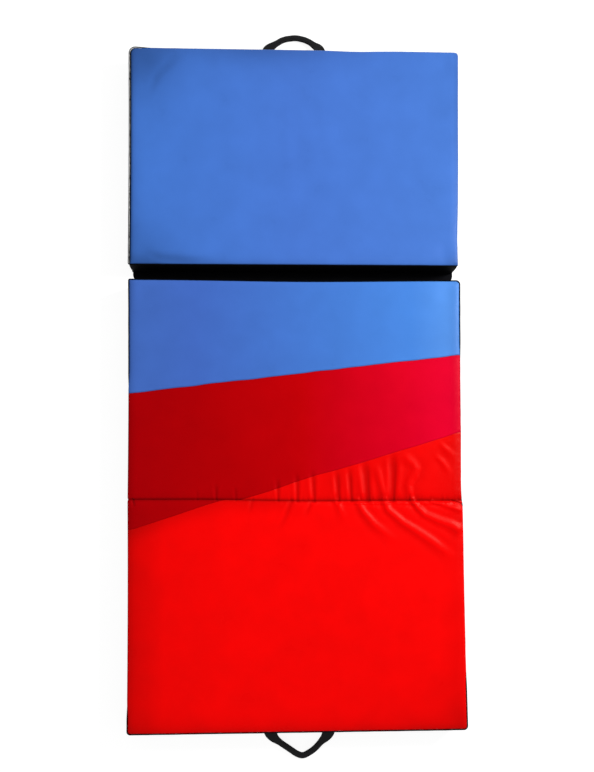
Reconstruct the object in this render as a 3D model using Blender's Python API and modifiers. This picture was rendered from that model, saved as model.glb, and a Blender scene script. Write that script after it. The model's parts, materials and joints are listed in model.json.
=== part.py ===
"""A folding bouldering crash pad: three foam-filled panels that fold like a Z.

The foot panel stays on the ground. The middle panel hangs on it by the top cover, which runs on
over the fold, and lies on top of it, face down, when folded. The head panel hangs on the middle
one by a strip of fabric along the ground, and lies on its upturned underside when folded.
Metres, +Z up, ground at z = 0, head panel towards +Y. The origin is under the middle of the
opened pad, its two carry handles included.
"""

import math

import bmesh
import bpy
import numpy as np
from mathutils import Vector

# Overall sizes
PAD_WIDTH = 1.000
PAD_THICKNESS = 0.100
HEAD_LENGTH = 0.669
MIDDLE_LENGTH = 0.6675
FOOT_LENGTH = 0.681
HEAD_GAP = 0.0415
PLAN_CORNER_RADIUS = 0.015
FOLD_CORNER_RADIUS = 0.0035

# Fabrics and the clearance between pieces that touch
FABRIC = 0.0010
SEAT_GAP = 0.0003

# Foam layers, from the ground up: the core fills what the other two leave
SUPPORT_FOAM_THICKNESS = 0.010
LANDING_FOAM_THICKNESS = 0.018

# Form of the stuffed covers
CROWN = 0.0020
EDGE_DROP = 0.0050
EDGE_ROLL = 0.024
WAIST = 0.0015
WALL_BULGE = 0.0018
FOLD_SETBACK = 0.0040
CORNER_SPLIT_SHARE = 0.38
ROLL_SPLIT_SHARE = 0.45

# Bound seams along the top and base edges
BINDING_RADIUS = 0.0016

# Coloured fields of the top cover: where their seams cross the panel sides and the fold
BLUE_SEAM_LEFT = 0.3206
BLUE_SEAM_RIGHT = 0.4380
RED_SEAM_RIGHT = 0.2039
RED_SEAM_AT_FOLD_X = -0.1649
FOOT_SEAM_AT_FOLD_X = -0.2160
FOOT_SEAM_LEFT = 0.0860

# Ground strip that joins the head and middle panels
HINGE_STRIP_THICKNESS = 0.0012
HINGE_STRIP_MARGIN = 0.012

# Zips in the left walls
ZIP_END_MARGIN = 0.053
ZIP_HEIGHT = 0.030
ZIP_TAPE_WIDTH = 0.030
ZIP_TAPE_THICKNESS = 0.0008
ZIP_TEETH_WIDTH = 0.0060
ZIP_TEETH_THICKNESS = 0.0018
ZIP_MARGIN = 0.008
SLIDER_LENGTH = 0.009
SLIDER_HEIGHT = 0.011
SLIDER_THICKNESS = 0.0040
PULL_LENGTH = 0.019
PULL_THICKNESS = 0.0014
PULL_NECK = 0.0030

# Carry handles of folded webbing
WEBBING_WIDTH = 0.040
WEBBING_THICKNESS = 0.0025
GRIP_WIDTH = 0.019
GRIP_THICKNESS = 0.0090
TAB_LENGTH = 0.048
TAB_TUCK = 0.0030
TAB_EDGE_ROUNDING = 0.0006
HANDLE_AXIS_HEIGHT = 0.025
HANDLE_DROOP_DEG = 12.0
HEM_TURNS_DEG = (78.0, 48.0, 22.0)
HEAD_HANDLE_REACH = 0.076
HEAD_HANDLE_SHIFT = 0.0033
HEAD_HALF_SPACING = 0.081
HEAD_FOLD_START = 0.012
HEAD_FOLD_END = 0.072
FOOT_HANDLE_REACH = 0.0835
FOOT_HANDLE_SHIFT = 0.0083
FOOT_HALF_SPACING = 0.0873
FOOT_FOLD_START = 0.0
FOOT_FOLD_END = 0.058
HEAD_LOOP_SHARES = (
    (-1.0, 0.0), (-1.0, 0.22), (-0.985, 0.38), (-0.90, 0.53), (-0.66, 0.725), (-0.38, 0.915),
    (0.0, 1.0), (0.33, 0.955), (0.58, 0.84), (0.80, 0.66), (0.95, 0.52), (1.0, 0.36), (1.0, 0.18),
    (1.0, 0.0),
)
FOOT_LOOP_SHARES = (
    (-1.0, 0.0), (-0.995, 0.10), (-0.93, 0.235), (-0.84, 0.35), (-0.66, 0.50), (-0.33, 0.755),
    (-0.08, 0.94), (0.11, 1.0), (0.30, 0.925), (0.535, 0.74), (0.76, 0.475), (0.90, 0.315),
    (0.985, 0.15), (1.0, 0.0),
)

# Counts
ACROSS_CELLS = 8
ALONG_CELLS = 6
CORNER_CELLS = 5
WALL_CELLS = 4
ZIP_CELLS = 8
LOOP_CELLS = 30
SECTION_POINTS = 12
BINDING_RESOLUTION = 1
SECTION_POWER = 4.0

# Worked out from the sizes above
HALF_GAP = SEAT_GAP / 2
COVER_INSET = 2 * BINDING_RADIUS + SEAT_GAP
FOLD_EDGE = FOLD_SETBACK + COVER_INSET
COVER_CORNER = PLAN_CORNER_RADIUS - COVER_INSET
COVER_EDGE_HEIGHT = PAD_THICKNESS - CROWN - EDGE_DROP
TOP_BINDING_HEIGHT = COVER_EDGE_HEIGHT - FABRIC / 2
BASE_BINDING_HEIGHT = HINGE_STRIP_THICKNESS + 2 * SEAT_GAP + BINDING_RADIUS
BAND_LOW = BASE_BINDING_HEIGHT + BINDING_RADIUS + SEAT_GAP
BAND_HIGH = TOP_BINDING_HEIGHT - BINDING_RADIUS - SEAT_GAP
SUPPORT_LOW = FABRIC + SEAT_GAP
SUPPORT_HIGH = SUPPORT_LOW + SUPPORT_FOAM_THICKNESS
CORE_LOW = SUPPORT_HIGH + SEAT_GAP
LANDING_LOW = PAD_THICKNESS - FABRIC - SEAT_GAP - LANDING_FOAM_THICKNESS
CORE_HIGH = LANDING_LOW - SEAT_GAP
HANDLE_AXIS_OUT = WEBBING_THICKNESS + WEBBING_THICKNESS / 2 + 2 * SEAT_GAP
HANDLE_DROOP = math.radians(HANDLE_DROOP_DEG)
HEAD_END_OUT = HANDLE_AXIS_OUT + (HEAD_HANDLE_REACH + GRIP_WIDTH / 2) * math.cos(HANDLE_DROOP)
FOOT_END_OUT = HANDLE_AXIS_OUT + (FOOT_HANDLE_REACH + GRIP_WIDTH / 2) * math.cos(HANDLE_DROOP)
OPEN_LENGTH = FOOT_LENGTH + MIDDLE_LENGTH + HEAD_GAP + HEAD_LENGTH
FOLD_Y = FOOT_LENGTH - OPEN_LENGTH / 2 + (FOOT_END_OUT - HEAD_END_OUT) / 2
HEAD_HINGE_Y = FOLD_Y + MIDDLE_LENGTH + HEAD_GAP / 2


class Panel:
    """One panel's place along the pad, and whether either end is the fold under the top cover."""

    def __init__(self, name, low, high, fold_low=False, fold_high=False):
        self.name = name
        self.low = low
        self.high = high
        self.fold_low = fold_low
        self.fold_high = fold_high

    @property
    def middle(self):
        return (self.low + self.high) / 2

    @property
    def half(self):
        return (self.high - self.low) / 2

    @property
    def wall_low(self):
        return self.low + (FOLD_SETBACK if self.fold_low else 0.0)

    @property
    def wall_high(self):
        return self.high - (FOLD_SETBACK if self.fold_high else 0.0)

    @property
    def cover_low(self):
        return self.low + (HALF_GAP if self.fold_low else COVER_INSET)

    @property
    def cover_high(self):
        return self.high - (HALF_GAP if self.fold_high else COVER_INSET)

    def drawn_in(self, x, y):
        """Pulls a point of the long sides in between the panel's corners."""
        along = min(1.0, abs(y - self.middle) / self.half)
        pull = WAIST * (1 - along**2)
        return x * (1 - 2 * pull / PAD_WIDTH)

    def top_height(self, x, y):
        """Height of the stuffed top: a low crown whose edges roll down."""
        half_width = PAD_WIDTH / 2 - COVER_INSET
        across = abs(x) / half_width
        along = abs(2 * y - self.cover_low - self.cover_high) / (self.cover_high - self.cover_low)
        crown = CROWN * (1 - (1 - across**2) * (1 - along**2))
        roll_low = EDGE_ROLL + (FOLD_EDGE if self.fold_low else 0.0)
        roll_high = EDGE_ROLL + (FOLD_EDGE if self.fold_high else 0.0)
        held_up = rolled(half_width - abs(x), EDGE_ROLL)
        held_up *= rolled(y - self.cover_low, roll_low) * rolled(self.cover_high - y, roll_high)
        return PAD_THICKNESS - crown - EDGE_DROP * (1 - held_up)


def rolled(distance, roll):
    """Share of its full height that a quarter-round edge has reached at a distance from the edge."""
    left = 1 - min(max(distance / roll, 0.0), 1.0)
    return math.sqrt(max(0.0, 1 - left**2))


def start_scene():
    """Empties the scene and gives the collection that holds the pad."""
    for old in list(bpy.data.objects):
        bpy.data.objects.remove(old, do_unlink=True)
    pad = bpy.data.collections.new("crash_pad")
    bpy.context.scene.collection.children.link(pad)
    return pad


def make_material(name, colour, roughness, metallic=0.0):
    """A Principled material of one colour."""
    made = bpy.data.materials.new(name)
    made.use_nodes = True
    shader = made.node_tree.nodes["Principled BSDF"]
    shader.inputs["Base Color"].default_value = (*colour, 1.0)
    shader.inputs["Roughness"].default_value = roughness
    shader.inputs["Metallic"].default_value = metallic
    made.diffuse_color = (*colour, 1.0)
    return made


def add_object(pad, name, data, finish):
    """Links a new object that holds the mesh or curve and wears the finish."""
    made = bpy.data.objects.new(name, data)
    data.materials.append(finish)
    pad.objects.link(made)
    return made


def finish_mesh(pad, name, shape, finish, sharp_angle=math.radians(40)):
    """Turns a bmesh into a named object with its faces pointing out."""
    bmesh.ops.recalc_face_normals(shape, faces=shape.faces[:])
    data = bpy.data.meshes.new(name)
    shape.to_mesh(data)
    shape.free()
    data.shade_smooth()
    data.set_sharp_from_angle(angle=sharp_angle)
    return add_object(pad, name, data, finish)


def mapped_grid(columns, rows, place):
    """A grid of cells whose points are put where place(column, row) says."""
    shape = bmesh.new()
    bmesh.ops.create_grid(shape, x_segments=columns, y_segments=rows, size=1.0)
    for point in shape.verts:
        column = round((point.co.x + 1) / 2 * columns)
        row = round((point.co.y + 1) / 2 * rows)
        point.co = place(column, row)
    return shape


def close_down(shape, bottom_height):
    """Closes an open top surface into a body that ends at bottom_height(point)."""
    made = bmesh.ops.extrude_face_region(shape, geom=shape.faces[:])
    for point in made["geom"]:
        if isinstance(point, bmesh.types.BMVert):
            point.co.z = bottom_height(point.co)
    return [face for face in made["geom"] if isinstance(face, bmesh.types.BMFace)]


def edge_distances(folded):
    """Distances of the grid lines from a cover's edge, close together where the edge rolls down."""
    rest = EDGE_ROLL - COVER_CORNER
    near = [0.0, COVER_CORNER * CORNER_SPLIT_SHARE, COVER_CORNER]
    near += [COVER_CORNER + rest * ROLL_SPLIT_SHARE, EDGE_ROLL]
    if folded:
        return [0.0] + [FOLD_EDGE + distance for distance in near]
    return near


def grid_lines(low, high, fold_low, fold_high, cells):
    """Grid lines from low to high: fine in the rolled edges, even over the field between."""
    start = [low + distance for distance in edge_distances(fold_low)]
    end = [high - distance for distance in reversed(edge_distances(fold_high))]
    field = np.linspace(start[-1], end[0], cells + 1)[1:-1]
    return start + [float(line) for line in field] + end


def rounded_corner(x, y, panel):
    """Moves a grid point in a square corner of the cover onto a round corner."""
    side = PAD_WIDTH / 2 - COVER_INSET - COVER_CORNER
    across = max(0.0, abs(x) - side) / COVER_CORNER
    past_high = 0.0 if panel.fold_high else y - (panel.cover_high - COVER_CORNER)
    past_low = 0.0 if panel.fold_low else (panel.cover_low + COVER_CORNER) - y
    along = max(past_high, past_low, 0.0) / COVER_CORNER
    if across == 0.0 or along == 0.0:
        return x, y
    round_across = across * math.sqrt(1 - along**2 / 2) * COVER_CORNER
    round_along = along * math.sqrt(1 - across**2 / 2) * COVER_CORNER
    new_x = math.copysign(side + round_across, x)
    if past_high > past_low:
        return new_x, panel.cover_high - COVER_CORNER + round_along
    return new_x, panel.cover_low + COVER_CORNER - round_along


def stuffed_surface(panel, drop, foam=False):
    """The panel's rolled and crowned top, lowered by drop. A foam stops short of the fold."""
    half_width = PAD_WIDTH / 2 - COVER_INSET
    xs = grid_lines(-half_width, half_width, False, False, ACROSS_CELLS)
    ys = grid_lines(panel.cover_low, panel.cover_high, panel.fold_low, panel.fold_high, ALONG_CELLS)
    if foam and panel.fold_low:
        ys = ys[1:]
    if foam and panel.fold_high:
        ys = ys[:-1]

    def place(column, row):
        height = panel.top_height(xs[column], ys[row]) - drop
        x, y = rounded_corner(xs[column], ys[row], panel)
        return Vector((panel.drawn_in(x, y), y, height))

    return mapped_grid(len(xs) - 1, len(ys) - 1, place)


def cut_away(shape, point, outward):
    """Keeps the part of an open surface that lies behind a plane."""
    geometry = shape.verts[:] + shape.edges[:] + shape.faces[:]
    bmesh.ops.bisect_plane(
        shape, geom=geometry, plane_co=point, plane_no=outward, clear_outer=True, dist=SEAT_GAP / 10
    )


def seam_line(left_y, right_x, right_y):
    """A seam that starts on the left side: a point on it and its level normal, towards the head."""
    start = Vector((-PAD_WIDTH / 2, left_y, 0.0))
    end = Vector((right_x, right_y, 0.0))
    along = (end - start).normalized()
    return start, Vector((-along.y, along.x, 0.0))


def add_cover_field(pad, panel, name, finish, bounds):
    """One coloured field of a top cover, cut from it along its seams. Each bound is (point, outward)."""
    shape = stuffed_surface(panel, 0.0)
    for point, outward in bounds:
        cut_away(shape, point - outward * HALF_GAP, outward)
    close_down(shape, lambda place: place.z - FABRIC)
    return finish_mesh(pad, name, shape, finish)


def add_landing_foam(pad, panel, finish):
    """The firm foam under the top cover: the cover's form above, flat below."""
    shape = stuffed_surface(panel, FABRIC + SEAT_GAP, foam=True)
    bottom = close_down(shape, lambda place: LANDING_LOW)
    bmesh.ops.dissolve_faces(shape, faces=bottom)
    return finish_mesh(pad, f"{panel.name}_landing_foam", shape, finish)


def rounded_path(corners, closed):
    """Points along a path of square corners, given as (x, y, radius): round corners, divided sides."""
    corners = [(Vector((x, y)), radius) for x, y, radius in corners]
    arcs = []
    for index, (corner, radius) in enumerate(corners):
        if radius == 0.0:
            arcs.append([corner])
            continue
        back = (corners[index - 1][0] - corner).normalized()
        ahead = (corners[(index + 1) % len(corners)][0] - corner).normalized()
        centre = corner + (back + ahead) * radius
        turns = np.linspace(0.0, math.pi / 2, CORNER_CELLS + 1)
        arcs.append([centre - (ahead * math.cos(turn) + back * math.sin(turn)) * radius for turn in turns])
    points = []
    for index, arc in enumerate(arcs):
        points += arc
        if index == len(arcs) - 1 and not closed:
            break
        start, end = arc[-1], arcs[(index + 1) % len(arcs)][0]
        cells = ACROSS_CELLS if abs(end.x - start.x) > abs(end.y - start.y) else ALONG_CELLS
        points += [start.lerp(end, cell / cells) for cell in range(1, cells)]
    return points


def loop_points(panel, inset, fold_radius=FOLD_CORNER_RADIUS):
    """The panel's outline seen from above, moved in by inset, anticlockwise and closed."""
    side = PAD_WIDTH / 2 - inset
    low, high = panel.wall_low + inset, panel.wall_high - inset
    free = PLAN_CORNER_RADIUS - inset
    fold = max(fold_radius - inset, 0.0)
    low_radius = fold if panel.fold_low else free
    high_radius = fold if panel.fold_high else free
    corners = [
        (side, low, low_radius), (side, high, high_radius),
        (-side, high, high_radius), (-side, low, low_radius),
    ]
    points = rounded_path(corners, closed=True)
    return [Vector((panel.drawn_in(point.x, point.y), point.y)) for point in points]


def open_points(panel, inset):
    """The outline without the fold: up one side, round the free end and back to the fold."""
    side = PAD_WIDTH / 2 - inset
    radius = PLAN_CORNER_RADIUS - inset
    if panel.fold_low:
        fold, free = panel.cover_low, panel.high - inset
    else:
        fold, free = panel.cover_high, panel.low + inset
    corners = [(side, fold, 0.0), (side, free, radius), (-side, free, radius), (-side, fold, 0.0)]
    points = rounded_path(corners, closed=False)
    return [Vector((panel.drawn_in(point.x, point.y), point.y)) for point in points]


def add_binding(pad, name, points, height, closed, finish):
    """A bound seam: a round bead of folded tape along the path."""
    curve = bpy.data.curves.new(name, "CURVE")
    curve.dimensions = "3D"
    curve.bevel_depth = BINDING_RADIUS
    curve.bevel_resolution = BINDING_RESOLUTION
    curve.use_fill_caps = True
    spline = curve.splines.new("POLY")
    spline.points.add(len(points) - 1)
    for place, point in zip(spline.points, points):
        place.co = (point.x, point.y, height, 1.0)
    spline.use_cyclic_u = closed
    return add_object(pad, name, curve, finish)


def add_plate(pad, name, points, low, high, finish):
    """A flat piece with the outline, from one height to another."""
    curve = bpy.data.curves.new(name, "CURVE")
    curve.dimensions = "2D"
    curve.fill_mode = "BOTH"
    curve.extrude = (high - low) / 2
    spline = curve.splines.new("POLY")
    spline.points.add(len(points) - 1)
    for place, point in zip(spline.points, points):
        place.co = (point.x, point.y, 0.0, 1.0)
    spline.use_cyclic_u = True
    made = add_object(pad, name, curve, finish)
    made.location.z = (low + high) / 2
    return made


def wall_levels():
    """Heights of the side band's rings."""
    return [float(level) for level in np.linspace(BAND_LOW, BAND_HIGH, WALL_CELLS + 1)]


def wall_inset(height):
    """How far in from the outline the side band's outer face lies: least at mid-height."""
    levels = wall_levels()
    middle = (BAND_LOW + BAND_HIGH) / 2
    half = (BAND_HIGH - BAND_LOW) / 2
    insets = [HALF_GAP + WALL_BULGE * ((level - middle) / half) ** 2 for level in levels]
    return float(np.interp(height, levels, insets))


def thicken(made, thickness, offset):
    """Gives an open surface its wall."""
    wall = made.modifiers.new("wall", "SOLIDIFY")
    wall.thickness = thickness
    wall.offset = offset
    wall.use_even_offset = True


def add_side_band(pad, panel, finish):
    """The wall of fabric round the foam: a ring that swells at mid-height."""
    levels = wall_levels()
    rings = [loop_points(panel, wall_inset(level)) for level in levels]
    count = len(rings[0])

    def place(column, row):
        point = rings[row][column % count]
        return Vector((point.x, point.y, levels[row]))

    shape = mapped_grid(count, WALL_CELLS, place)
    bmesh.ops.remove_doubles(shape, verts=shape.verts[:], dist=SEAT_GAP / 10)
    made = finish_mesh(pad, f"{panel.name}_side_band", shape, finish)
    thicken(made, FABRIC, -1.0)
    return made


def add_wall_strip(pad, panel, name, low, high, outset, thickness, finish):
    """A strip along the left wall that follows its form, its inner face outset from the wall."""
    start, end = panel.low + ZIP_END_MARGIN, panel.high - ZIP_END_MARGIN
    levels = [low] + [level for level in wall_levels() if low < level < high] + [high]

    def place(column, row):
        y = end + (start - end) * column / ZIP_CELLS
        x = -PAD_WIDTH / 2 + wall_inset(levels[row]) - outset
        return Vector((panel.drawn_in(x, y), y, levels[row]))

    shape = mapped_grid(ZIP_CELLS, len(levels) - 1, place)
    made = finish_mesh(pad, name, shape, finish)
    facing = made.data.polygons[0].normal.x
    thicken(made, thickness, 1.0 if facing < 0 else -1.0)
    return made


def add_zip(pad, panel, tape_finish, teeth_finish, slider_finish):
    """A zip in the left wall: tape, teeth and a slider that runs from one end to the other."""
    half_tape, half_teeth = ZIP_TAPE_WIDTH / 2, ZIP_TEETH_WIDTH / 2
    tape = (ZIP_HEIGHT - half_tape, ZIP_HEIGHT + half_tape)
    add_wall_strip(pad, panel, f"{panel.name}_zip_tape", *tape, SEAT_GAP, ZIP_TAPE_THICKNESS, tape_finish)
    teeth = (ZIP_HEIGHT - half_teeth, ZIP_HEIGHT + half_teeth)
    outset = 2 * SEAT_GAP + ZIP_TAPE_THICKNESS
    add_wall_strip(pad, panel, f"{panel.name}_zip_teeth", *teeth, outset, ZIP_TEETH_THICKNESS, teeth_finish)
    add_slider(pad, panel, outset + ZIP_TEETH_THICKNESS + SEAT_GAP, slider_finish)


def add_slider(pad, panel, outset, finish):
    """The zip's slider with its pull hanging down: a side profile, as wide as the slider is long."""
    rest_y = panel.high - ZIP_END_MARGIN - ZIP_MARGIN - SLIDER_LENGTH
    outer_y = rest_y + SLIDER_LENGTH / 2
    inner_x = panel.drawn_in(-PAD_WIDTH / 2 + wall_inset(ZIP_HEIGHT + SLIDER_HEIGHT / 2) - outset, outer_y)
    top = ZIP_HEIGHT + SLIDER_HEIGHT / 2
    base = ZIP_HEIGHT - SLIDER_HEIGHT / 2
    neck = base - PULL_NECK
    tip = base - PULL_LENGTH
    outer = SLIDER_THICKNESS
    profile = [
        (0.0, top - PULL_THICKNESS), (PULL_THICKNESS, top), (outer - PULL_THICKNESS, top),
        (outer, top - PULL_THICKNESS), (outer, base), (PULL_THICKNESS * 2, neck), (PULL_THICKNESS * 2, tip),
        (PULL_THICKNESS, tip), (PULL_THICKNESS, neck), (0.0, base),
    ]
    curve = bpy.data.curves.new(f"{panel.name}_zip_slider", "CURVE")
    curve.dimensions = "2D"
    curve.fill_mode = "BOTH"
    curve.extrude = SLIDER_LENGTH / 2
    spline = curve.splines.new("POLY")
    spline.points.add(len(profile) - 1)
    for place, (out, height) in zip(spline.points, profile):
        place.co = (-out, height - ZIP_HEIGHT, 0.0, 1.0)
    spline.use_cyclic_u = True
    made = add_object(pad, f"{panel.name}_zip_slider", curve, finish)
    made.location = (inner_x, rest_y, ZIP_HEIGHT)
    made.rotation_euler = (math.pi / 2, 0.0, 0.0)
    return made


def smooth_path(points, cells):
    """Evenly spaced points on a smooth curve through the given ones, by Catmull-Rom stretches."""
    given = np.array(points)
    padded = np.vstack([2 * given[0] - given[1], given, 2 * given[-1] - given[-2]])
    fine = []
    for index in range(len(given) - 1):
        a, b, c, d = padded[index:index + 4]
        for t in np.linspace(0.0, 1.0, cells, endpoint=False):
            fine.append(0.5 * (2 * b + (c - a) * t + (2 * a - 5 * b + 4 * c - d) * t**2
                               + (3 * b - a - 3 * c + d) * t**3))
    fine = np.array(fine + [given[-1]])
    travelled = np.concatenate([[0.0], np.cumsum(np.linalg.norm(np.diff(fine, axis=0), axis=1))])
    wanted = np.linspace(0.0, travelled[-1], cells + 1)
    even = np.stack([np.interp(wanted, travelled, fine[:, axis]) for axis in (0, 1)], axis=1)
    return even, wanted


def ease(value, low, high):
    """0 before low, 1 after high, smooth between."""
    share = min(max((value - low) / (high - low), 0.0), 1.0)
    return share * share * (3 - 2 * share)


def webbing_section(width, thickness):
    """Points round a flattened section, as (across, up)."""
    points = []
    for turn in np.linspace(0.0, math.tau, SECTION_POINTS, endpoint=False):
        across = math.copysign(abs(math.cos(turn)) ** (2 / SECTION_POWER), math.cos(turn))
        up = math.copysign(abs(math.sin(turn)) ** (2 / SECTION_POWER), math.sin(turn))
        points.append((across * width / 2, up * thickness / 2))
    return points


def add_handle(pad, name, shares, reach, feet, fold, side, wall_y, finish):
    """A carry handle: flat webbing that leaves the wall, is folded to a thick grip and returns.

    The loop lies in its own plane with its origin on the line that it swings about, and droops
    to the ground by turning about that line. Its section is a loft from flat to folded, and each
    end is a hem, round about the same line, so that it turns against the end sewn to the wall.
    feet gives where its two ends are sewn: the place of their middle and half their spacing.
    """
    shift, half_spacing = feet
    route = [(shift + across * half_spacing, out * reach) for across, out in shares]
    centres, travelled = smooth_path(route, LOOP_CELLS)
    tangents = np.gradient(centres, axis=0)
    tangents /= np.linalg.norm(tangents, axis=1)[:, None]
    tangents[0], tangents[-1] = (0.0, 1.0), (0.0, -1.0)
    sections = []
    for distance in travelled:
        folded = ease(min(distance, travelled[-1] - distance), *fold)
        width = WEBBING_WIDTH + (GRIP_WIDTH - WEBBING_WIDTH) * folded
        thickness = WEBBING_THICKNESS + (GRIP_THICKNESS - WEBBING_THICKNESS) * folded
        sections.append(webbing_section(width, thickness))
    hem = [math.radians(turn) for turn in HEM_TURNS_DEG]
    hem_sections = [webbing_section(WEBBING_WIDTH, WEBBING_THICKNESS * math.cos(turn)) for turn in hem]
    hem_back = np.array([(0.0, -WEBBING_THICKNESS / 2 * math.sin(turn)) for turn in hem])
    centres = np.vstack([centres[0] + hem_back, centres, centres[-1] + hem_back[::-1]])
    tangents = np.vstack([tangents[:1]] * len(hem) + [tangents] + [tangents[-1:]] * len(hem))
    sections = hem_sections + sections + hem_sections[::-1]

    def place(column, row):
        across, up = sections[row][column % SECTION_POINTS]
        x = centres[row][0] - tangents[row][1] * across
        y = centres[row][1] + tangents[row][0] * across
        return Vector((x, side * y, up))

    shape = mapped_grid(SECTION_POINTS, len(sections) - 1, place)
    bmesh.ops.remove_doubles(shape, verts=shape.verts[:], dist=SEAT_GAP / 10)
    open_edges = [edge for edge in shape.edges if edge.is_boundary]
    bmesh.ops.holes_fill(shape, edges=open_edges, sides=SECTION_POINTS)
    made = finish_mesh(pad, name, shape, finish)
    made.location = (0.0, wall_y + side * HANDLE_AXIS_OUT, HANDLE_AXIS_HEIGHT)
    made.rotation_euler = (-side * HANDLE_DROOP, 0.0, 0.0)
    return made


def add_tab(pad, name, x, side, wall_y, finish):
    """The end of the webbing, sewn flat to the end wall."""
    bpy.ops.mesh.primitive_cube_add(size=1.0)
    made = bpy.context.active_object
    made.name = made.data.name = name
    for user in list(made.users_collection):
        user.objects.unlink(made)
    pad.objects.link(made)
    made.data.materials.append(finish)
    for point in made.data.vertices:
        point.co.x *= WEBBING_WIDTH
        point.co.y *= WEBBING_THICKNESS
        point.co.z *= TAB_LENGTH
    rounding = made.modifiers.new("rounding", "BEVEL")
    rounding.width = TAB_EDGE_ROUNDING
    rounding.segments = 1
    out = SEAT_GAP + WEBBING_THICKNESS / 2
    height = HANDLE_AXIS_HEIGHT - TAB_TUCK + TAB_LENGTH / 2
    made.location = (x, wall_y + side * out, height)
    return made


def add_handle_set(pad, panel_name, shares, reach, feet, fold, side, wall_y, finish):
    """A handle with both of its sewn ends, on the end wall at wall_y. side is +1 at the head end."""
    add_handle(pad, f"{panel_name}_handle", shares, reach, feet, fold, side, wall_y, finish)
    shift, half_spacing = feet
    for word, sign in (("left", -1), ("right", 1)):
        x = shift + sign * half_spacing
        add_tab(pad, f"{panel_name}_handle_tab_{word}", x, side, wall_y, finish)


def add_hinge_strip(pad, name, wall_y, axis_y, finish):
    """Half of the ground strip between two panels: from the base cover's edge, under the bound
    seam, to the line that it folds on."""
    side = 1 if axis_y > wall_y else -1
    near, far = wall_y - side * (COVER_INSET - SEAT_GAP), axis_y - side * HALF_GAP
    half_width = PAD_WIDTH / 2 - HINGE_STRIP_MARGIN
    points = [Vector((x, y)) for x, y in (
        (-half_width, near), (half_width, near), (half_width, far), (-half_width, far),
    )]
    return add_plate(pad, name, points, SEAT_GAP, SEAT_GAP + HINGE_STRIP_THICKNESS, finish)


def add_panel_body(pad, panel, finishes):
    """What every panel has: three foams, a base cover, a side band, bindings and a zip."""
    inner = loop_points(panel, COVER_INSET, fold_radius=0.0)
    add_plate(pad, f"{panel.name}_base_cover", inner, 0.0, FABRIC, finishes["base"])
    add_plate(pad, f"{panel.name}_support_foam", inner, SUPPORT_LOW, SUPPORT_HIGH, finishes["firm_foam"])
    add_plate(pad, f"{panel.name}_core_foam", inner, CORE_LOW, CORE_HIGH, finishes["soft_foam"])
    add_landing_foam(pad, panel, finishes["firm_foam"])
    add_side_band(pad, panel, finishes["black_fabric"])
    base_loop = loop_points(panel, BINDING_RADIUS)
    add_binding(pad, f"{panel.name}_base_binding", base_loop, BASE_BINDING_HEIGHT, True, finishes["binding"])
    folded = panel.fold_low or panel.fold_high
    top_loop = open_points(panel, BINDING_RADIUS) if folded else base_loop
    name = f"{panel.name}_top_binding"
    add_binding(pad, name, top_loop, TOP_BINDING_HEIGHT, not folded, finishes["binding"])
    add_zip(pad, panel, finishes["black_fabric"], finishes["zip_teeth"], finishes["zip_slider"])


def add_top_covers(pad, head, middle, foot, finishes):
    """The coloured fabric on top: blue, crimson and red fields that meet in slanting seams."""
    add_cover_field(pad, head, "head_top_cover", finishes["blue"], [])
    blue_at, towards_head = seam_line(FOLD_Y + BLUE_SEAM_LEFT, PAD_WIDTH / 2, FOLD_Y + BLUE_SEAM_RIGHT)
    add_cover_field(pad, middle, "middle_top_blue", finishes["blue"], [(blue_at, -towards_head)])
    fold_point = Vector((RED_SEAM_AT_FOLD_X, FOLD_Y, 0.0))
    along = (Vector((PAD_WIDTH / 2, FOLD_Y + RED_SEAM_RIGHT, 0.0)) - fold_point).normalized()
    over_red = Vector((-along.y, along.x, 0.0))
    crimson = [(blue_at, towards_head), (fold_point, -over_red)]
    add_cover_field(pad, middle, "middle_top_crimson", finishes["crimson"], crimson)
    add_cover_field(pad, middle, "middle_top_red", finishes["red"], [(fold_point, over_red)])
    foot_at, over_foot = seam_line(FOLD_Y - FOOT_SEAM_LEFT, FOOT_SEAM_AT_FOLD_X, FOLD_Y)
    add_cover_field(pad, foot, "foot_top_crimson", finishes["crimson"], [(foot_at, -over_foot)])
    add_cover_field(pad, foot, "foot_top_red", finishes["red"], [(foot_at, over_foot)])


def make_finishes():
    """The pad's materials."""
    return {
        "blue": make_material("blue_cover", (0.071, 0.194, 0.665), 0.62),
        "crimson": make_material("crimson_cover", (0.515, 0.0015, 0.004), 0.62),
        "red": make_material("red_cover", (0.955, 0.003, 0.003), 0.62),
        "black_fabric": make_material("black_cover", (0.006, 0.006, 0.007), 0.75),
        "binding": make_material("black_binding", (0.005, 0.005, 0.007), 0.70),
        "base": make_material("coated_base_fabric", (0.008, 0.008, 0.009), 0.55),
        "firm_foam": make_material("closed_cell_foam", (0.06, 0.06, 0.065), 0.85),
        "soft_foam": make_material("open_cell_foam", (0.60, 0.58, 0.42), 0.95),
        "webbing": make_material("black_webbing", (0.007, 0.007, 0.008), 0.70),
        "zip_teeth": make_material("zip_teeth", (0.010, 0.010, 0.011), 0.45),
        "zip_slider": make_material("black_coated_zinc", (0.015, 0.015, 0.016), 0.35, 0.6),
    }


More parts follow.
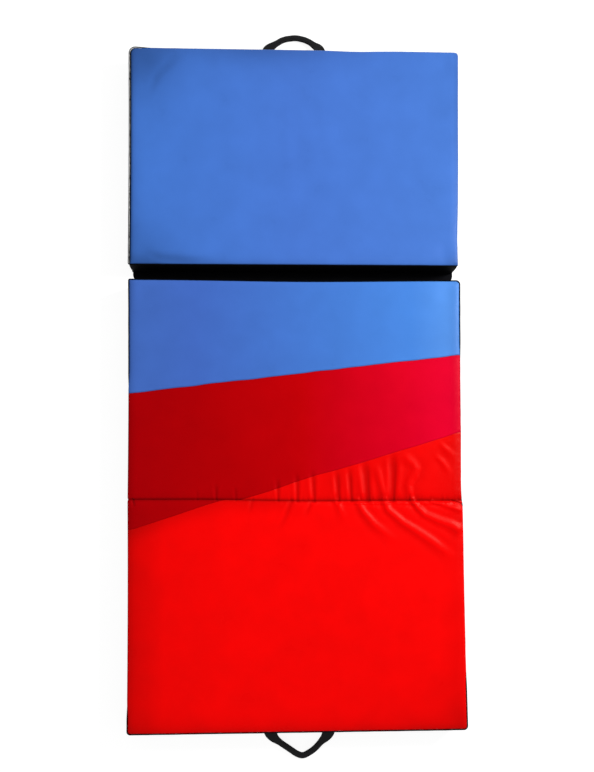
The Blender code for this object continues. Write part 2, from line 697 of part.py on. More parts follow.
def build():
    """Builds the whole pad."""
    pad = start_scene()
    finishes = make_finishes()
    middle_end = FOLD_Y + MIDDLE_LENGTH
    head_end = middle_end + HEAD_GAP + HEAD_LENGTH
    foot_end = FOLD_Y - FOOT_LENGTH
    middle = Panel("middle", FOLD_Y, middle_end, fold_low=True)
    head = Panel("head", middle_end + HEAD_GAP, head_end)
    foot = Panel("foot", foot_end, FOLD_Y, fold_high=True)
    for panel in (head, middle, foot):
        add_panel_body(pad, panel, finishes)
    add_top_covers(pad, head, middle, foot, finishes)
    add_hinge_strip(pad, "middle_hinge_strip", middle_end, HEAD_HINGE_Y, finishes["black_fabric"])
    add_hinge_strip(pad, "head_hinge_strip", head.low, HEAD_HINGE_Y, finishes["black_fabric"])
    head_feet = (HEAD_HANDLE_SHIFT, HEAD_HALF_SPACING)
    head_fold = (HEAD_FOLD_START, HEAD_FOLD_END)
    add_handle_set(pad, "head", HEAD_LOOP_SHARES, HEAD_HANDLE_REACH, head_feet, head_fold, 1,
                   head_end, finishes["webbing"])
    foot_feet = (FOOT_HANDLE_SHIFT, FOOT_HALF_SPACING)
    foot_fold = (FOOT_FOLD_START, FOOT_FOLD_END)
    add_handle_set(pad, "foot", FOOT_LOOP_SHARES, FOOT_HANDLE_REACH, foot_feet, foot_fold, -1,
                   foot_end, finishes["webbing"])
    print(f"fold axis y {FOLD_Y:.5f}, head hinge axis y {HEAD_HINGE_Y:.5f}")
    print(f"head wall y {head_end:.5f}, foot wall y {foot_end:.5f}, axis out {HANDLE_AXIS_OUT:.5f}")


build()
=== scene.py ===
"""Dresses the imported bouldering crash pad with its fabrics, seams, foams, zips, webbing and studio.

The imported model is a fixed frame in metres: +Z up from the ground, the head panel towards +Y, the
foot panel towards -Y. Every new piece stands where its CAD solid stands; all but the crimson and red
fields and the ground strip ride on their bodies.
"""

import json
import logging
import math
from dataclasses import dataclass
from enum import Enum
from typing import Any, Mapping, Sequence

import bmesh
import bpy
import numpy as np
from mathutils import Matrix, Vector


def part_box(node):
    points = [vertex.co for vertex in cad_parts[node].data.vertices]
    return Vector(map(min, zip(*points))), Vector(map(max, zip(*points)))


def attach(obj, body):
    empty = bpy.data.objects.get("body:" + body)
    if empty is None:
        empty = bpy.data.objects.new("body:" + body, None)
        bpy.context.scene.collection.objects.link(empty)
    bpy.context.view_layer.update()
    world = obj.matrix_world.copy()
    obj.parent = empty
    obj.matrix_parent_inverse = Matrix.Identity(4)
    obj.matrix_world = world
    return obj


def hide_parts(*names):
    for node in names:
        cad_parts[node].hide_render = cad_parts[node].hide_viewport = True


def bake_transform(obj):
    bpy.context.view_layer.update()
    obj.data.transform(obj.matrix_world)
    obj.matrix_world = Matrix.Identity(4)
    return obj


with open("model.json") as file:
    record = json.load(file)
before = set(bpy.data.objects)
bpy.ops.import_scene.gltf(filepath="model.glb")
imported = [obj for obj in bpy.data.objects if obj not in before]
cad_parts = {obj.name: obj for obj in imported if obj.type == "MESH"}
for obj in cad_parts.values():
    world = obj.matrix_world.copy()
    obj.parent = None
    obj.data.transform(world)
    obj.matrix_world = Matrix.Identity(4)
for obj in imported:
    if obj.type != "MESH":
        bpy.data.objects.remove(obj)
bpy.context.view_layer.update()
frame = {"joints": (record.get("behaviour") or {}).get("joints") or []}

LOG = logging.getLogger("crash_pad")
Array = np.ndarray
Bows = tuple[tuple[float, float, float], ...]
MM = 0.001
LATTICE = 64
PHOTO_SIZE = (594, 772)
UV_NAME = "cloth"
# The tone attribute is painted shade: darkening painted into a cover's colour at its creases, seams and fold,
# and where it turns from the light.
TONE_NAME = "tone"


def joint_y(name: str) -> float:
    """Where along the pad a fold's line lies.

    Args:
        name: the joint's name.

    Returns:
        Its y in metres.
    """
    return next(joint["pos_m"][1] for joint in frame["joints"] if joint["name"] == name)


# ---------------------------------------------------------------- shapes as arrays


def rolled(distance: Array, roll: float) -> Array:
    """Quarter-round edge: share of its height reached at a distance in from the edge.

    The share is the root of 1 - (1 - distance / roll) squared, and 1 past the roll.
    """
    left = 1.0 - np.clip(distance / roll, 0.0, 1.0)
    return np.sqrt(np.maximum(0.0, 1.0 - left**2))


def eased(value: Array, low: float, high: float) -> Array:
    """0 before low, 1 after high, and the smooth step 3t² - 2t³ between."""
    share = np.clip((value - low) / (high - low), 0.0, 1.0)
    return share * share * (3.0 - 2.0 * share)


def bell(distance: Array, width: float) -> Array:
    """A smooth hump that is 1 at distance 0: e to the power of minus (distance / width) squared."""
    return np.exp(-((distance / width) ** 2))


def wander(along: Array, length: float, wave: float, seed: int) -> Array:
    """A smooth uneven wave from -1 to 1 that closes on itself after length.

    It is the sum of six sines whose counts lie round length / wave, each with a seeded phase,
    over 3.2, which their sum seldom passes.

    Args:
        along: places along the line.
        length: the line's length.
        wave: about how long one wave is.
        seed: sets the phases.

    Returns:
        The wave at each place.
    """
    random = np.random.default_rng(seed)
    counts = np.maximum(1, np.round(length / wave * np.array([0.35, 0.6, 0.85, 1.0, 1.3, 1.75])))
    phases = random.uniform(0.0, math.tau, counts.size)
    total = np.zeros_like(np.asarray(along, float))
    for count, phase in zip(counts, phases):
        total += np.sin(math.tau * count * along / length + phase)
    return total / 3.2


def patchy(x: Array, y: Array, cell: float, seed: int) -> Array:
    """Smooth patches from -1 to 1: seeded values on a square lattice, eased between its points.

    Args:
        x: places across the pad.
        y: places along the pad.
        cell: the lattice's spacing.
        seed: sets the values.

    Returns:
        The value at each place.
    """
    random = np.random.default_rng(seed)
    values = random.uniform(-1.0, 1.0, (LATTICE, LATTICE))
    middle = LATTICE / 2 - 1
    across, along = x / cell + middle, y / cell + middle
    column, row = np.floor(across).astype(int), np.floor(along).astype(int)
    right, up = eased(across - column, 0.0, 1.0), eased(along - row, 0.0, 1.0)
    column, row = column % (LATTICE - 1), row % (LATTICE - 1)
    low = values[row, column] * (1 - right) + values[row, column + 1] * right
    high = values[row + 1, column] * (1 - right) + values[row + 1, column + 1] * right
    return low * (1 - up) + high * up


def travelled_along(points: Array) -> Array:
    """Distance travelled at each point of a line of straight stretches."""
    return np.concatenate([[0.0], np.cumsum(np.linalg.norm(np.diff(points, axis=0), axis=1))])


def grid_quads(rows: int, columns: int) -> Array:
    """The cells of a grid of points, as (rows - 1, columns - 1, 4) numbers of points."""
    number = np.arange(rows * columns).reshape(rows, columns)
    return np.stack([number[:-1, :-1], number[:-1, 1:], number[1:, 1:], number[1:, :-1]], axis=-1)


def linked(name: str, data: bpy.types.ID) -> bpy.types.Object:
    """Adds an object with this data to the scene, at the origin.

    Args:
        name: the object's name.
        data: what it shows, such as a mesh.

    Returns:
        The object.
    """
    made = bpy.data.objects.new(name, data)
    bpy.context.scene.collection.objects.link(made)
    return made


def line_distance(x: Array, y: Array, points: Sequence[tuple[float, float]]) -> tuple[Array, Array]:
    """Distance of each point from a line of straight stretches, and how far along it that is.

    Args:
        x: places across the pad.
        y: places along the pad.
        points: the line's corners.

    Returns:
        The distances, and the shares of the line's length from 0 to 1.
    """
    corners = np.asarray(points, float)
    lengths = np.linalg.norm(np.diff(corners, axis=0), axis=1)
    travelled = np.concatenate([[0.0], np.cumsum(lengths)])
    best, share = np.full(x.shape, np.inf), np.zeros(x.shape)
    for index, length in enumerate(lengths):
        (ax, ay), (bx, by) = corners[index], corners[index + 1]
        t = np.clip(((x - ax) * (bx - ax) + (y - ay) * (by - ay)) / length**2, 0.0, 1.0)
        distance = np.hypot(x - ax - t * (bx - ax), y - ay - t * (by - ay))
        nearer = distance < best
        best = np.where(nearer, distance, best)
        share = np.where(nearer, (travelled[index] + t * length) / travelled[-1], share)
    return best, share


def smooth_route(points: Sequence[tuple[float, float]], cells: int) -> tuple[Array, Array]:
    """Evenly spaced points on a smooth curve through the given ones.

    Each stretch is a Catmull-Rom cubic: it passes its two ends along the lines between their
    neighbours. The fine points are then spaced evenly by their distance travelled.

    Args:
        points: the given points, as (across, out).
        cells: how many even steps to make.

    Returns:
        The points, and the distance travelled at each.
    """
    given = np.asarray(points, float)
    ends = np.vstack([2 * given[0] - given[1], given, 2 * given[-1] - given[-2]])
    t = np.linspace(0.0, 1.0, cells, endpoint=False)[None, :, None]
    a, b, c, d = (ends[start:start + len(given) - 1, None] for start in range(4))
    fine = 0.5 * (2 * b + (c - a) * t + (2 * a - 5 * b + 4 * c - d) * t**2 + (3 * b - a - 3 * c + d) * t**3)
    fine = np.vstack([fine.reshape(-1, 2), given[-1:]])
    travelled = travelled_along(fine)
    wanted = np.linspace(0.0, travelled[-1], cells + 1)
    return np.stack([np.interp(wanted, travelled, fine[:, axis]) for axis in (0, 1)], axis=1), wanted


def flattened_section(width: float, thickness: float, count: int, power: float) -> Array:
    """A rounded flat section: cosine and sine, each raised to 2 / power, scaled to its size.

    Args:
        width: its width.
        thickness: its thickness.
        count: how many points it has.
        power: how square it is: 2 gives an ellipse.

    Returns:
        The points, as (across, up).
    """
    turn = np.linspace(0.0, math.tau, count, endpoint=False)
    across = np.sign(np.cos(turn)) * np.abs(np.cos(turn)) ** (2 / power)
    up = np.sign(np.sin(turn)) * np.abs(np.sin(turn)) ** (2 / power)
    return np.stack([across * width / 2, up * thickness / 2], axis=1)


def spaced(low: float, high: float, from_low: Array, from_high: Array, step: float) -> Array:
    """Grid lines from low to high: the given distances from each end, and even steps between.

    Args:
        low: one end.
        high: the other end.
        from_low: rising distances from the low end.
        from_high: rising distances from the high end.
        step: about how long an even step is.

    Returns:
        The lines' places, in order.
    """
    start, end = low + from_low, high - from_high[::-1]
    cells = max(1, round((end[0] - start[-1]) / step))
    return np.concatenate([start, np.linspace(start[-1], end[0], cells + 1)[1:-1], end])


class Shell:
    """A mesh put together from closed parts, each given as whole arrays."""

    def __init__(self) -> None:
        """Starts with no parts."""
        self.points: list[Array] = []
        self.polygons: list[Array] = []
        self.uvs: list[Array] = []
        self.tones: list[Array] = []
        self.count = 0

    def add(self, points: Array, polygons: Sequence[Array], uvs: Sequence[Array] | None = None,
            tone: Array | None = None) -> None:
        """Adds one closed part, or many of the same turn, with its faces pointing out.

        The part's volume is a sixth of the sum of every triangle's triple product. Where it comes
        out negative the faces point in, and each is read backwards.

        Args:
            points: the part's points.
            polygons: arrays of faces, each (faces, corners), as numbers of points.
            uvs: for each array, the place of every corner on the flat cloth, in metres.
            tone: how light the cloth is painted at each point, as painted shade, 1 where it isn't darkened.
        """
        volume = 0.0
        for faces in polygons:
            for corner in range(1, faces.shape[1] - 1):
                a, b, c = points[faces[:, 0]], points[faces[:, corner]], points[faces[:, corner + 1]]
                volume += float(np.einsum("ij,ij->", a, np.cross(b, c)))
        turn = slice(None, None, -1 if volume < 0 else 1)
        for index, faces in enumerate(polygons):
            self.polygons.append(faces[:, turn] + self.count)
            flat = points[faces][..., :2] if uvs is None else uvs[index]
            self.uvs.append(flat[:, turn].reshape(-1, 2))
        self.points.append(points)
        self.tones.append(np.ones(len(points)) if tone is None else tone)
        self.count += len(points)

    def add_grid(self, places: Array, along: Array, around: Array, ring_rows: bool = False,
                 ring_columns: bool = True, tone: Array | None = None) -> None:
        """Adds a grid of places as a closed part: a ring of rings, or a tube with closed ends.

        Args:
            places: (rows, columns, 3) points.
            along: cloth coordinate of every row, and of the first again where rows make a ring.
            around: the same for the columns.
            ring_rows: whether the last row joins the first.
            ring_columns: whether the last column joins the first.
            tone: (rows, columns) lightness.
        """
        rows, columns = places.shape[:2]
        row, column = np.meshgrid(
            np.arange(rows if ring_rows else rows - 1),
            np.arange(columns if ring_columns else columns - 1), indexing="ij",
        )
        steps = ((0, 0), (0, 1), (1, 1), (1, 0))
        quads = np.stack(
            [(row + r) % rows * columns + (column + c) % columns for r, c in steps], axis=-1
        ).reshape(-1, 4)
        flat = np.stack(
            [np.stack([along[row + r], around[column + c]], axis=-1) for r, c in steps], axis=-2
        ).reshape(-1, 4, 2)
        points, polygons, uvs = places.reshape(-1, 3), [quads], [flat]
        shade = None if tone is None else tone.reshape(-1)
        if not ring_rows:
            first = np.arange(columns)
            last = first + (rows - 1) * columns
            poles = np.stack([places[0].mean(axis=0), places[-1].mean(axis=0)])
            head = np.stack([np.full(columns, len(points)), np.roll(first, -1), first], axis=1)
            foot = np.stack([np.full(columns, len(points) + 1), last, np.roll(last, -1)], axis=1)
            points = np.vstack([points, poles])
            polygons += [head, foot]
            uvs += [points[head][..., :2], points[foot][..., :2]]
            shade = None if shade is None else np.append(shade, [1.0, 1.0])
        self.add(points, polygons, uvs, shade)

    def make(self, name: str, finish: bpy.types.Material, sharp: float) -> bpy.types.Object:
        """Makes the object, at the origin, with its cloth coordinates and its tone.

        Args:
            name: the piece's name.
            finish: its material.
            sharp: edges that bend by more degrees than this stay sharp.

        Returns:
            The new object.
        """
        mesh = bpy.data.meshes.new(name)
        points = np.concatenate(self.points)
        corners = np.concatenate([faces.reshape(-1) for faces in self.polygons])
        sizes = np.concatenate([np.full(len(faces), faces.shape[1]) for faces in self.polygons])
        mesh.vertices.add(len(points))
        mesh.vertices.foreach_set("co", points.astype(np.float32).ravel())
        mesh.loops.add(len(corners))
        mesh.loops.foreach_set("vertex_index", corners.astype(np.int32))
        mesh.polygons.add(len(sizes))
        starts = np.concatenate([[0], np.cumsum(sizes)[:-1]])
        mesh.polygons.foreach_set("loop_start", starts.astype(np.int32))
        mesh.update(calc_edges=True)
        layer = mesh.uv_layers.new(name=UV_NAME)
        layer.data.foreach_set("uv", np.concatenate(self.uvs).astype(np.float32).ravel())
        shade = mesh.attributes.new(TONE_NAME, "FLOAT", "POINT")
        shade.data.foreach_set("value", np.concatenate(self.tones).astype(np.float32))
        mesh.validate()
        mesh.shade_smooth()
        mesh.set_sharp_from_angle(angle=math.radians(sharp))
        mesh.materials.append(finish)
        return linked(name, mesh)


@dataclass(frozen=True)
class Stitching:
    """A row of sewn stitches: small arched capsules of thread, their ends sunk in the cloth."""

    length: float = 3.0 * MM
    pitch: float = 4.2 * MM
    radius: float = 0.22 * MM
    sides: int = 6

    def sew(self, shell: Shell, route: Array, outward: Array, closed: bool = False) -> None:
        """Sews along a route.

        Each stitch is three rings and two poles: the rings' centres rise by one radius at the
        middle and sink by half of one at the ends.

        Args:
            shell: the mesh that gets the thread.
            route: (points, 3) places on the cloth's face.
            outward: (points, 3) directions out of the cloth.
            closed: whether the route closes on itself.
        """
        if closed:
            route, outward = np.vstack([route, route[:1]]), np.vstack([outward, outward[:1]])
        travelled = travelled_along(route)
        count = max(1, int(travelled[-1] / self.pitch))
        middles = (np.arange(count) + 0.5) * travelled[-1] / count

        def at(distance: Array, values: Array) -> Array:
            """Values along the route at each distance."""
            return np.stack([np.interp(distance, travelled, values[:, axis]) for axis in range(3)], axis=1)

        half = self.length / 2
        start, end = at(middles - half, route), at(middles + half, route)
        direction = (end - start) / np.linalg.norm(end - start, axis=1)[:, None]
        up = at(middles, outward)
        up -= direction * np.einsum("ij,ij->i", up, direction)[:, None]
        up /= np.linalg.norm(up, axis=1)[:, None]
        side = np.cross(direction, up)
        centre = (start + end) / 2
        shares = np.array([-1.0, -0.68, 0.0, 0.68, 1.0])
        rises = np.array([-0.5, 0.1, 0.7, 0.1, -0.5]) * self.radius
        axis = (centre[:, None] + direction[:, None] * (shares * half)[None, :, None]
                + up[:, None] * rises[None, :, None])
        turn = np.linspace(0.0, math.tau, self.sides, endpoint=False)
        ring = (up[:, None] * np.cos(turn)[None, :, None] + side[:, None] * np.sin(turn)[None, :, None])
        rings = axis[:, 1:4, None] + ring[:, None] * self.radius
        points = np.concatenate([rings.reshape(count, -1, 3), axis[:, :1], axis[:, 4:]], axis=1)
        number = 3 * self.sides
        here = np.arange(self.sides)
        after = np.roll(here, -1)
        quads = np.vstack([
            np.stack([here + low, after + low, after + low + self.sides, here + low + self.sides], axis=1)
            for low in (0, self.sides)
        ])
        first = np.stack([np.full(self.sides, number), after, here], axis=1)
        last = np.stack([np.full(self.sides, number + 1), here, after], axis=1)
        last[:, 1:] += 2 * self.sides
        shift = (np.arange(count) * (number + 2))[:, None, None]
        shell.add(points.reshape(-1, 3), [
            (quads[None] + shift).reshape(-1, 4),
            (np.vstack([first, last])[None] + shift).reshape(-1, 3),
        ])


# ---------------------------------------------------------------- the pad's form


@dataclass(frozen=True)
class PadSizes:
    """Sizes that all the panels share, in metres."""

    width: float = 1.000
    thickness: float = 0.100
    head_length: float = 0.669
    middle_length: float = 0.6675
    foot_length: float = 0.681
    head_gap: float = 0.0415
    fabric: float = 1.0 * MM
    seat: float = 0.3 * MM
    crown: float = 2.0 * MM
    edge_drop: float = 5.0 * MM
    edge_roll: float = 24.0 * MM
    waist: float = 1.5 * MM
    wall_bulge: float = 1.8 * MM
    fold_setback: float = 4.0 * MM
    fold_corner: float = 3.5 * MM
    binding: float = 1.6 * MM
    notch: float = 1.6 * MM
    notch_reach: float = 3.5 * MM
    notch_rise: float = 6.0 * MM
    top_binding_z: float = 92.5 * MM
    base_binding_z: float = 3.4 * MM
    band_low: float = 5.3 * MM
    band_high: float = 90.6 * MM
    bow_reach: float = 0.16
    tuck_drop: float = 2.4 * MM
    tuck_inset: float = 1.0 * MM
    lap_out: float = 2.6 * MM
    corner_dent: float = 2.2 * MM
    dent_inset: float = 38.0 * MM
    dent_width: float = 26.0 * MM
    lap_ease: float = 0.06
    lap_side_share: float = 0.4
    lap_end_depth: float = 0.03

    @property
    def cover_inset(self) -> float:
        """How far the covers stay in from the outline, which the bound seam takes up."""
        return 2 * self.binding + self.seat

    @property
    def cover_half(self) -> float:
        """How far a cover reaches to each side of the pad's centre line."""
        return self.width / 2 - self.cover_inset

    def wall_inset(self, height: Array) -> Array:
        """How far in from the outline a side band's outer face lies: least at mid-height.

        Args:
            height: heights above the ground.

        Returns:
            The inset at each height.
        """
        middle = (self.band_low + self.band_high) / 2
        half = (self.band_high - self.band_low) / 2
        return self.seat / 2 + self.wall_bulge * ((height - middle) / half) ** 2


SIZES = PadSizes()
FOLD_Y = joint_y("foot_fold")
GROUND_FOLD_Y = joint_y("head_fold")


@dataclass(frozen=True)
class PanelForm:
    """One panel's place along the pad, and whether either end is the fold under the top cover.

    A free end isn't quite straight: each of its bows is (middle, width, offset along the pad).
    corners are the radii at the high end's right and left, then at the low end's left and right.
    A lap is (from, to, share): between these places the cover laps over its bound seam by that
    share, or stays back from it where the share is below 0, and lap_ease further on it lies beside
    it again. Side laps are measured along the pad from the fold, and high_lap across it.
    right_flare is how far the right side stands out, as (place along, offset).
    """

    name: str
    low: float
    high: float
    fold_low: bool = False
    fold_high: bool = False
    low_bows: Bows = ()
    high_bows: Bows = ()
    corners: tuple[float, float, float, float] = (9.0 * MM,) * 4
    left_lap: tuple[float, float, float] = (0.0, 0.0, 0.0)
    right_lap: tuple[float, float, float] = (0.0, 0.0, 0.0)
    high_lap: tuple[float, float, float] = (0.0, 0.0, 0.0)
    right_flare: tuple[tuple[float, float], ...] = ((0.0, 0.0),)

    @property
    def body(self) -> str:
        """The CAD body that the panel's pieces ride on."""
        return f"{self.name}_panel"

    @property
    def wall_low(self) -> float:
        """Where the walls start."""
        return self.low + (SIZES.fold_setback if self.fold_low else 0.0)

    @property
    def wall_high(self) -> float:
        """Where the walls end."""
        return self.high - (SIZES.fold_setback if self.fold_high else 0.0)

    @property
    def cover_low(self) -> float:
        """Where the top cover starts."""
        return self.low + (0.0 if self.fold_low else SIZES.cover_inset)

    @property
    def cover_high(self) -> float:
        """Where the top cover ends."""
        return self.high - (0.0 if self.fold_high else SIZES.cover_inset)

    @staticmethod
    def bowed(x: Array, bows: Bows) -> Array:
        """How far an end's line lies off straight: the sum of its bows, each a bell."""
        return sum((offset * bell(x - middle, width) for middle, width, offset in bows), np.zeros_like(x))

    def laps(self, x: Array, y: Array) -> tuple[Array, Array]:
        """How far the cover laps over its bound seam: at the sides, and at the high end.

        Args:
            x: places across the pad.
            y: places along the pad.

        Returns:
            The laps' shares, at the sides and at the high end.
        """

        def within(place: Array, lap: tuple[float, float, float]) -> Array:
            """One lap's share at each place, eased in before it starts and out after it ends.

            Args:
                place: places along the bound seam.
                lap: the lap's start, end and share.

            Returns:
                The share at each place.
            """
            start, end, share = lap
            begun = eased(place, start - SIZES.lap_ease, start)
            return share * begun * (1 - eased(place, end, end + SIZES.lap_ease))

        beside = SIZES.lap_side_share * SIZES.width
        side = within(y - FOLD_Y, self.left_lap) * (x < -beside)
        side = side + within(y - FOLD_Y, self.right_lap) * (x > beside)
        return side, within(x, self.high_lap) * (y > self.high - SIZES.lap_end_depth)

    def lapped(self, x: Array, y: Array) -> Array:
        """Both laps in one: side + end - side * end where they meet."""
        side, end = self.laps(x, y)
        return side + end - side * end

    def settled(self, x: Array, y: Array) -> tuple[Array, Array]:
        """Moves places of the straight plan to where the stuffed panel's sewn edges lie.

        The long sides draw in by the waist, which follows one minus the square of the share of the
        way to a corner, and on the left into a notch, a bell just above the fold. The flare fades
        out towards the middle. The free ends' bows fade out by the smooth step over bow_reach.

        Args:
            x: places across the straight plan.
            y: places along it.

        Returns:
            The moved places, across and along.
        """
        along = np.minimum(1.0, np.abs(y - (self.low + self.high) / 2) / ((self.high - self.low) / 2))
        pull = SIZES.waist * (1 - along**2)
        if self.fold_low or self.fold_high:
            pull = pull + SIZES.notch * bell(y - FOLD_Y - SIZES.notch_rise, SIZES.notch_reach) * (x < 0)
        moved = y
        for edge, bows in ((self.low, self.low_bows), (self.high, self.high_bows)):
            moved = moved + self.bowed(x, bows) * (1 - eased(np.abs(y - edge), 0.0, SIZES.bow_reach))
        flare = np.interp(y - FOLD_Y, *np.transpose(self.right_flare)) * np.maximum(x, 0.0)
        return x * (1 - 2 * pull / SIZES.width) + 2 * flare / SIZES.width, moved

    def top_height(self, x: Array, y: Array) -> Array:
        """Height of the stuffed top: a low crown whose edges roll down.

        The crown drops by one minus the product of (1 - across²) and (1 - along²), and the edge
        drop fades out by the product of the quarter-rounds of the distances to the four edges. A
        bell dents each free corner, where the foam doesn't fill the cover.

        Args:
            x: places across the pad.
            y: places along the pad.

        Returns:
            The height at each place.
        """
        half = SIZES.cover_half
        span = self.cover_high - self.cover_low
        across = np.clip(np.abs(x) / half, 0.0, 1.0)
        along = np.clip(np.abs(2 * y - self.cover_low - self.cover_high) / span, 0.0, 1.0)
        crown = SIZES.crown * (1 - (1 - across**2) * (1 - along**2))
        fold_edge = SIZES.fold_setback + SIZES.cover_inset
        roll_low = SIZES.edge_roll + (fold_edge if self.fold_low else 0.0)
        roll_high = SIZES.edge_roll + (fold_edge if self.fold_high else 0.0)
        held_up = rolled(half - np.abs(x), SIZES.edge_roll)
        held_up = held_up * rolled(y - self.cover_low, roll_low) * rolled(self.cover_high - y, roll_high)
        dent = np.zeros_like(x)
        for folded, gap in ((self.fold_low, y - self.cover_low), (self.fold_high, self.cover_high - y)):
            if not folded:
                in_from_side = half - np.abs(x) - SIZES.dent_inset
                dent = dent + bell(np.hypot(in_from_side, gap - SIZES.dent_inset), SIZES.dent_width)
        return SIZES.thickness - crown - SIZES.edge_drop * (1 - held_up) - SIZES.corner_dent * dent


FOOT = PanelForm(
    "foot", FOLD_Y - SIZES.foot_length, FOLD_Y, fold_high=True,
    corners=(0.0, 0.0, 11.0 * MM, 13.0 * MM), left_lap=(-0.58, 0.1, 1.0), right_lap=(-0.50, 0.1, 0.8),
    right_flare=(
        (-0.681, 5.5 * MM), (-0.36, 3.6 * MM), (-0.06, 1.5 * MM), (-0.015, 0.6 * MM), (0.0, -2.0 * MM),
    ),
)
MIDDLE = PanelForm(
    "middle", FOLD_Y, FOLD_Y + SIZES.middle_length, fold_low=True, high_bows=((0.03, 0.30, -4.5 * MM),),
    corners=(14.0 * MM, 6.0 * MM, 0.0, 0.0), left_lap=(-0.1, 0.33, 1.0), right_lap=(-0.1, 0.42, 0.8),
    right_flare=((0.0, -2.0 * MM), (0.03, -3.2 * MM), (0.21, 0.0), (0.36, 1.0 * MM), (0.6675, 2.6 * MM)),
)
HEAD_LOW = FOLD_Y + SIZES.middle_length + SIZES.head_gap
HEAD = PanelForm(
    "head", HEAD_LOW, HEAD_LOW + SIZES.head_length, high_bows=((0.19, 0.07, -2.5 * MM),),
    corners=(15.0 * MM, 20.0 * MM, 5.5 * MM, 5.5 * MM), left_lap=(0.6, 1.42, -0.9),
    right_lap=(0.6, 1.5, 0.85), high_lap=(-0.43, 0.6, 0.85),
    right_flare=(
        (0.709, -2.5 * MM), (0.79, -3.0 * MM), (0.913, 1.8 * MM), (1.04, 4.5 * MM), (1.29, 7.0 * MM),
        (1.378, 8.0 * MM),
    ),
)


@dataclass(frozen=True)
class Outline:
    """A line seen from above, with its directions outwards and the distance travelled."""

    places: Array
    outward: Array
    travelled: Array
    length: float

    def drawn_in(self, inset: float) -> Array:
        """The line moved in by inset: each axis is scaled about the middle, so no corner crosses.

        Args:
            inset: how far in each side moves.

        Returns:
            The moved points.
        """
        low, high = self.places.min(axis=0), self.places.max(axis=0)
        middle = (low + high) / 2
        return middle + (self.places - middle) * (1 - 2 * inset / (high - low))

    @staticmethod
    def rounded(panel: PanelForm, inset: float, step: float, free_end: bool = False) -> "Outline":
        """The panel's outline, moved in by inset: straight sides joined by quarter circles.

        Args:
            panel: the panel.
            inset: how far in.
            step: length of the steps along the sides.
            free_end: leaves out the fold, from one side of it round the free end to the other.

        Returns:
            The outline, anticlockwise where it is closed.
        """
        side = SIZES.width / 2 - inset
        low, high = panel.wall_low + inset, panel.wall_high - inset
        folds = (panel.fold_high, panel.fold_high, panel.fold_low, panel.fold_low)
        radii = [
            max((SIZES.fold_corner if folded else radius) - inset, 0.5 * MM)
            for folded, radius in zip(folds, panel.corners)
        ]
        if free_end:
            low = panel.cover_low if panel.fold_low else low
            high = panel.cover_high if panel.fold_high else high
        corners = [
            (side, high, radii[0], 0.0), (-side, high, radii[1], 0.5 * math.pi),
            (-side, low, radii[2], math.pi), (side, low, radii[3], 1.5 * math.pi),
        ]
        places, outward = [], []
        for x, y, radius, turn in corners:
            turns = turn + np.linspace(0.0, 0.5 * math.pi, 7)
            direction = np.stack([np.cos(turns), np.sin(turns)], axis=1)
            centre = np.array([x - math.copysign(radius, x), y - math.copysign(radius, y - (low + high) / 2)])
            places.append(centre + radius * direction)
            outward.append(direction)
        points, normals = [], []
        for index in range(4):
            points.append(places[index])
            normals.append(outward[index])
            start, end = places[index][-1], places[(index + 1) % 4][0]
            cells = max(1, round(float(np.linalg.norm(end - start)) / step))
            shares = np.linspace(0.0, 1.0, cells + 1)[1:-1, None]
            points.append(start + (end - start) * shares)
            normals.append(np.repeat(outward[index][-1:], cells - 1, axis=0))
        route, away = np.vstack(points), np.vstack(normals)
        if free_end:
            route, away = Outline.without_fold(panel, route, away, side)
        route = np.stack(panel.settled(route[:, 0], route[:, 1]), axis=1)
        again = route if free_end else np.vstack([route, route[:1]])
        travelled = travelled_along(again)
        return Outline(route, away, travelled, float(travelled[-1]))

    @staticmethod
    def without_fold(panel: PanelForm, route: Array, away: Array, side: float) -> tuple[Array, Array]:
        """Opens a closed outline at the fold, so that it starts and ends on the fold line.

        Args:
            panel: the panel.
            route: the closed outline's places.
            away: their directions outwards.
            side: how far its sides lie from the pad's centre line.

        Returns:
            The places and directions that are left, in order.
        """
        fold, sign = (panel.cover_low, 1) if panel.fold_low else (panel.cover_high, -1)
        kept = (route[:, 1] - fold) * sign > SIZES.fold_corner
        first = int(np.flatnonzero(kept & ~np.roll(kept, 1))[0])
        order = np.roll(np.arange(len(route)), -first)
        order = order[kept[order]]
        route, away = route[order], away[order]
        ends = np.array([[math.copysign(side, route[0, 0]), fold], [math.copysign(side, route[-1, 0]), fold]])
        shares = np.linspace(0.0, 1.0, 6)[:-1, None]
        start = ends[0] + (route[0] - ends[0]) * shares
        end = (ends[1] + (route[-1] - ends[1]) * shares)[::-1]
        route = np.vstack([start, route, end])
        first, last = np.repeat(away[:1], len(start), axis=0), np.repeat(away[-1:], len(end), axis=0)
        return route, np.vstack([first, away, last])


# ---------------------------------------------------------------- finishes


def linear(code: str) -> tuple[float, float, float, float]:
    """Turns an sRGB hex value into linear colour with full alpha.

    Args:
        code: six hex digits.

    Returns:
        Red, green, blue and alpha.
    """
    parts = [int(code[start:start + 2], 16) / 255 for start in (0, 2, 4)]
    red, green, blue = (p / 12.92 if p <= 0.04045 else ((p + 0.055) / 1.055) ** 2.4 for p in parts)
    return red, green, blue, 1.0


def add_node(tree: bpy.types.NodeTree, kind: str, settings: Mapping[str, Any] | None = None,
             inputs: Mapping[str | int, Any] | None = None) -> bpy.types.Node:
    """Adds a node with its settings and what goes into it.

    Args:
        tree: the node tree.
        kind: Blender's name for the node.
        settings: the node's own settings.
        inputs: for each input, a value or the output that feeds it.

    Returns:
        The new node.
    """
    node = tree.nodes.new(kind)
    for name, value in (settings or {}).items():
        setattr(node, name, value)
    feed(tree, node, inputs or {})
    return node


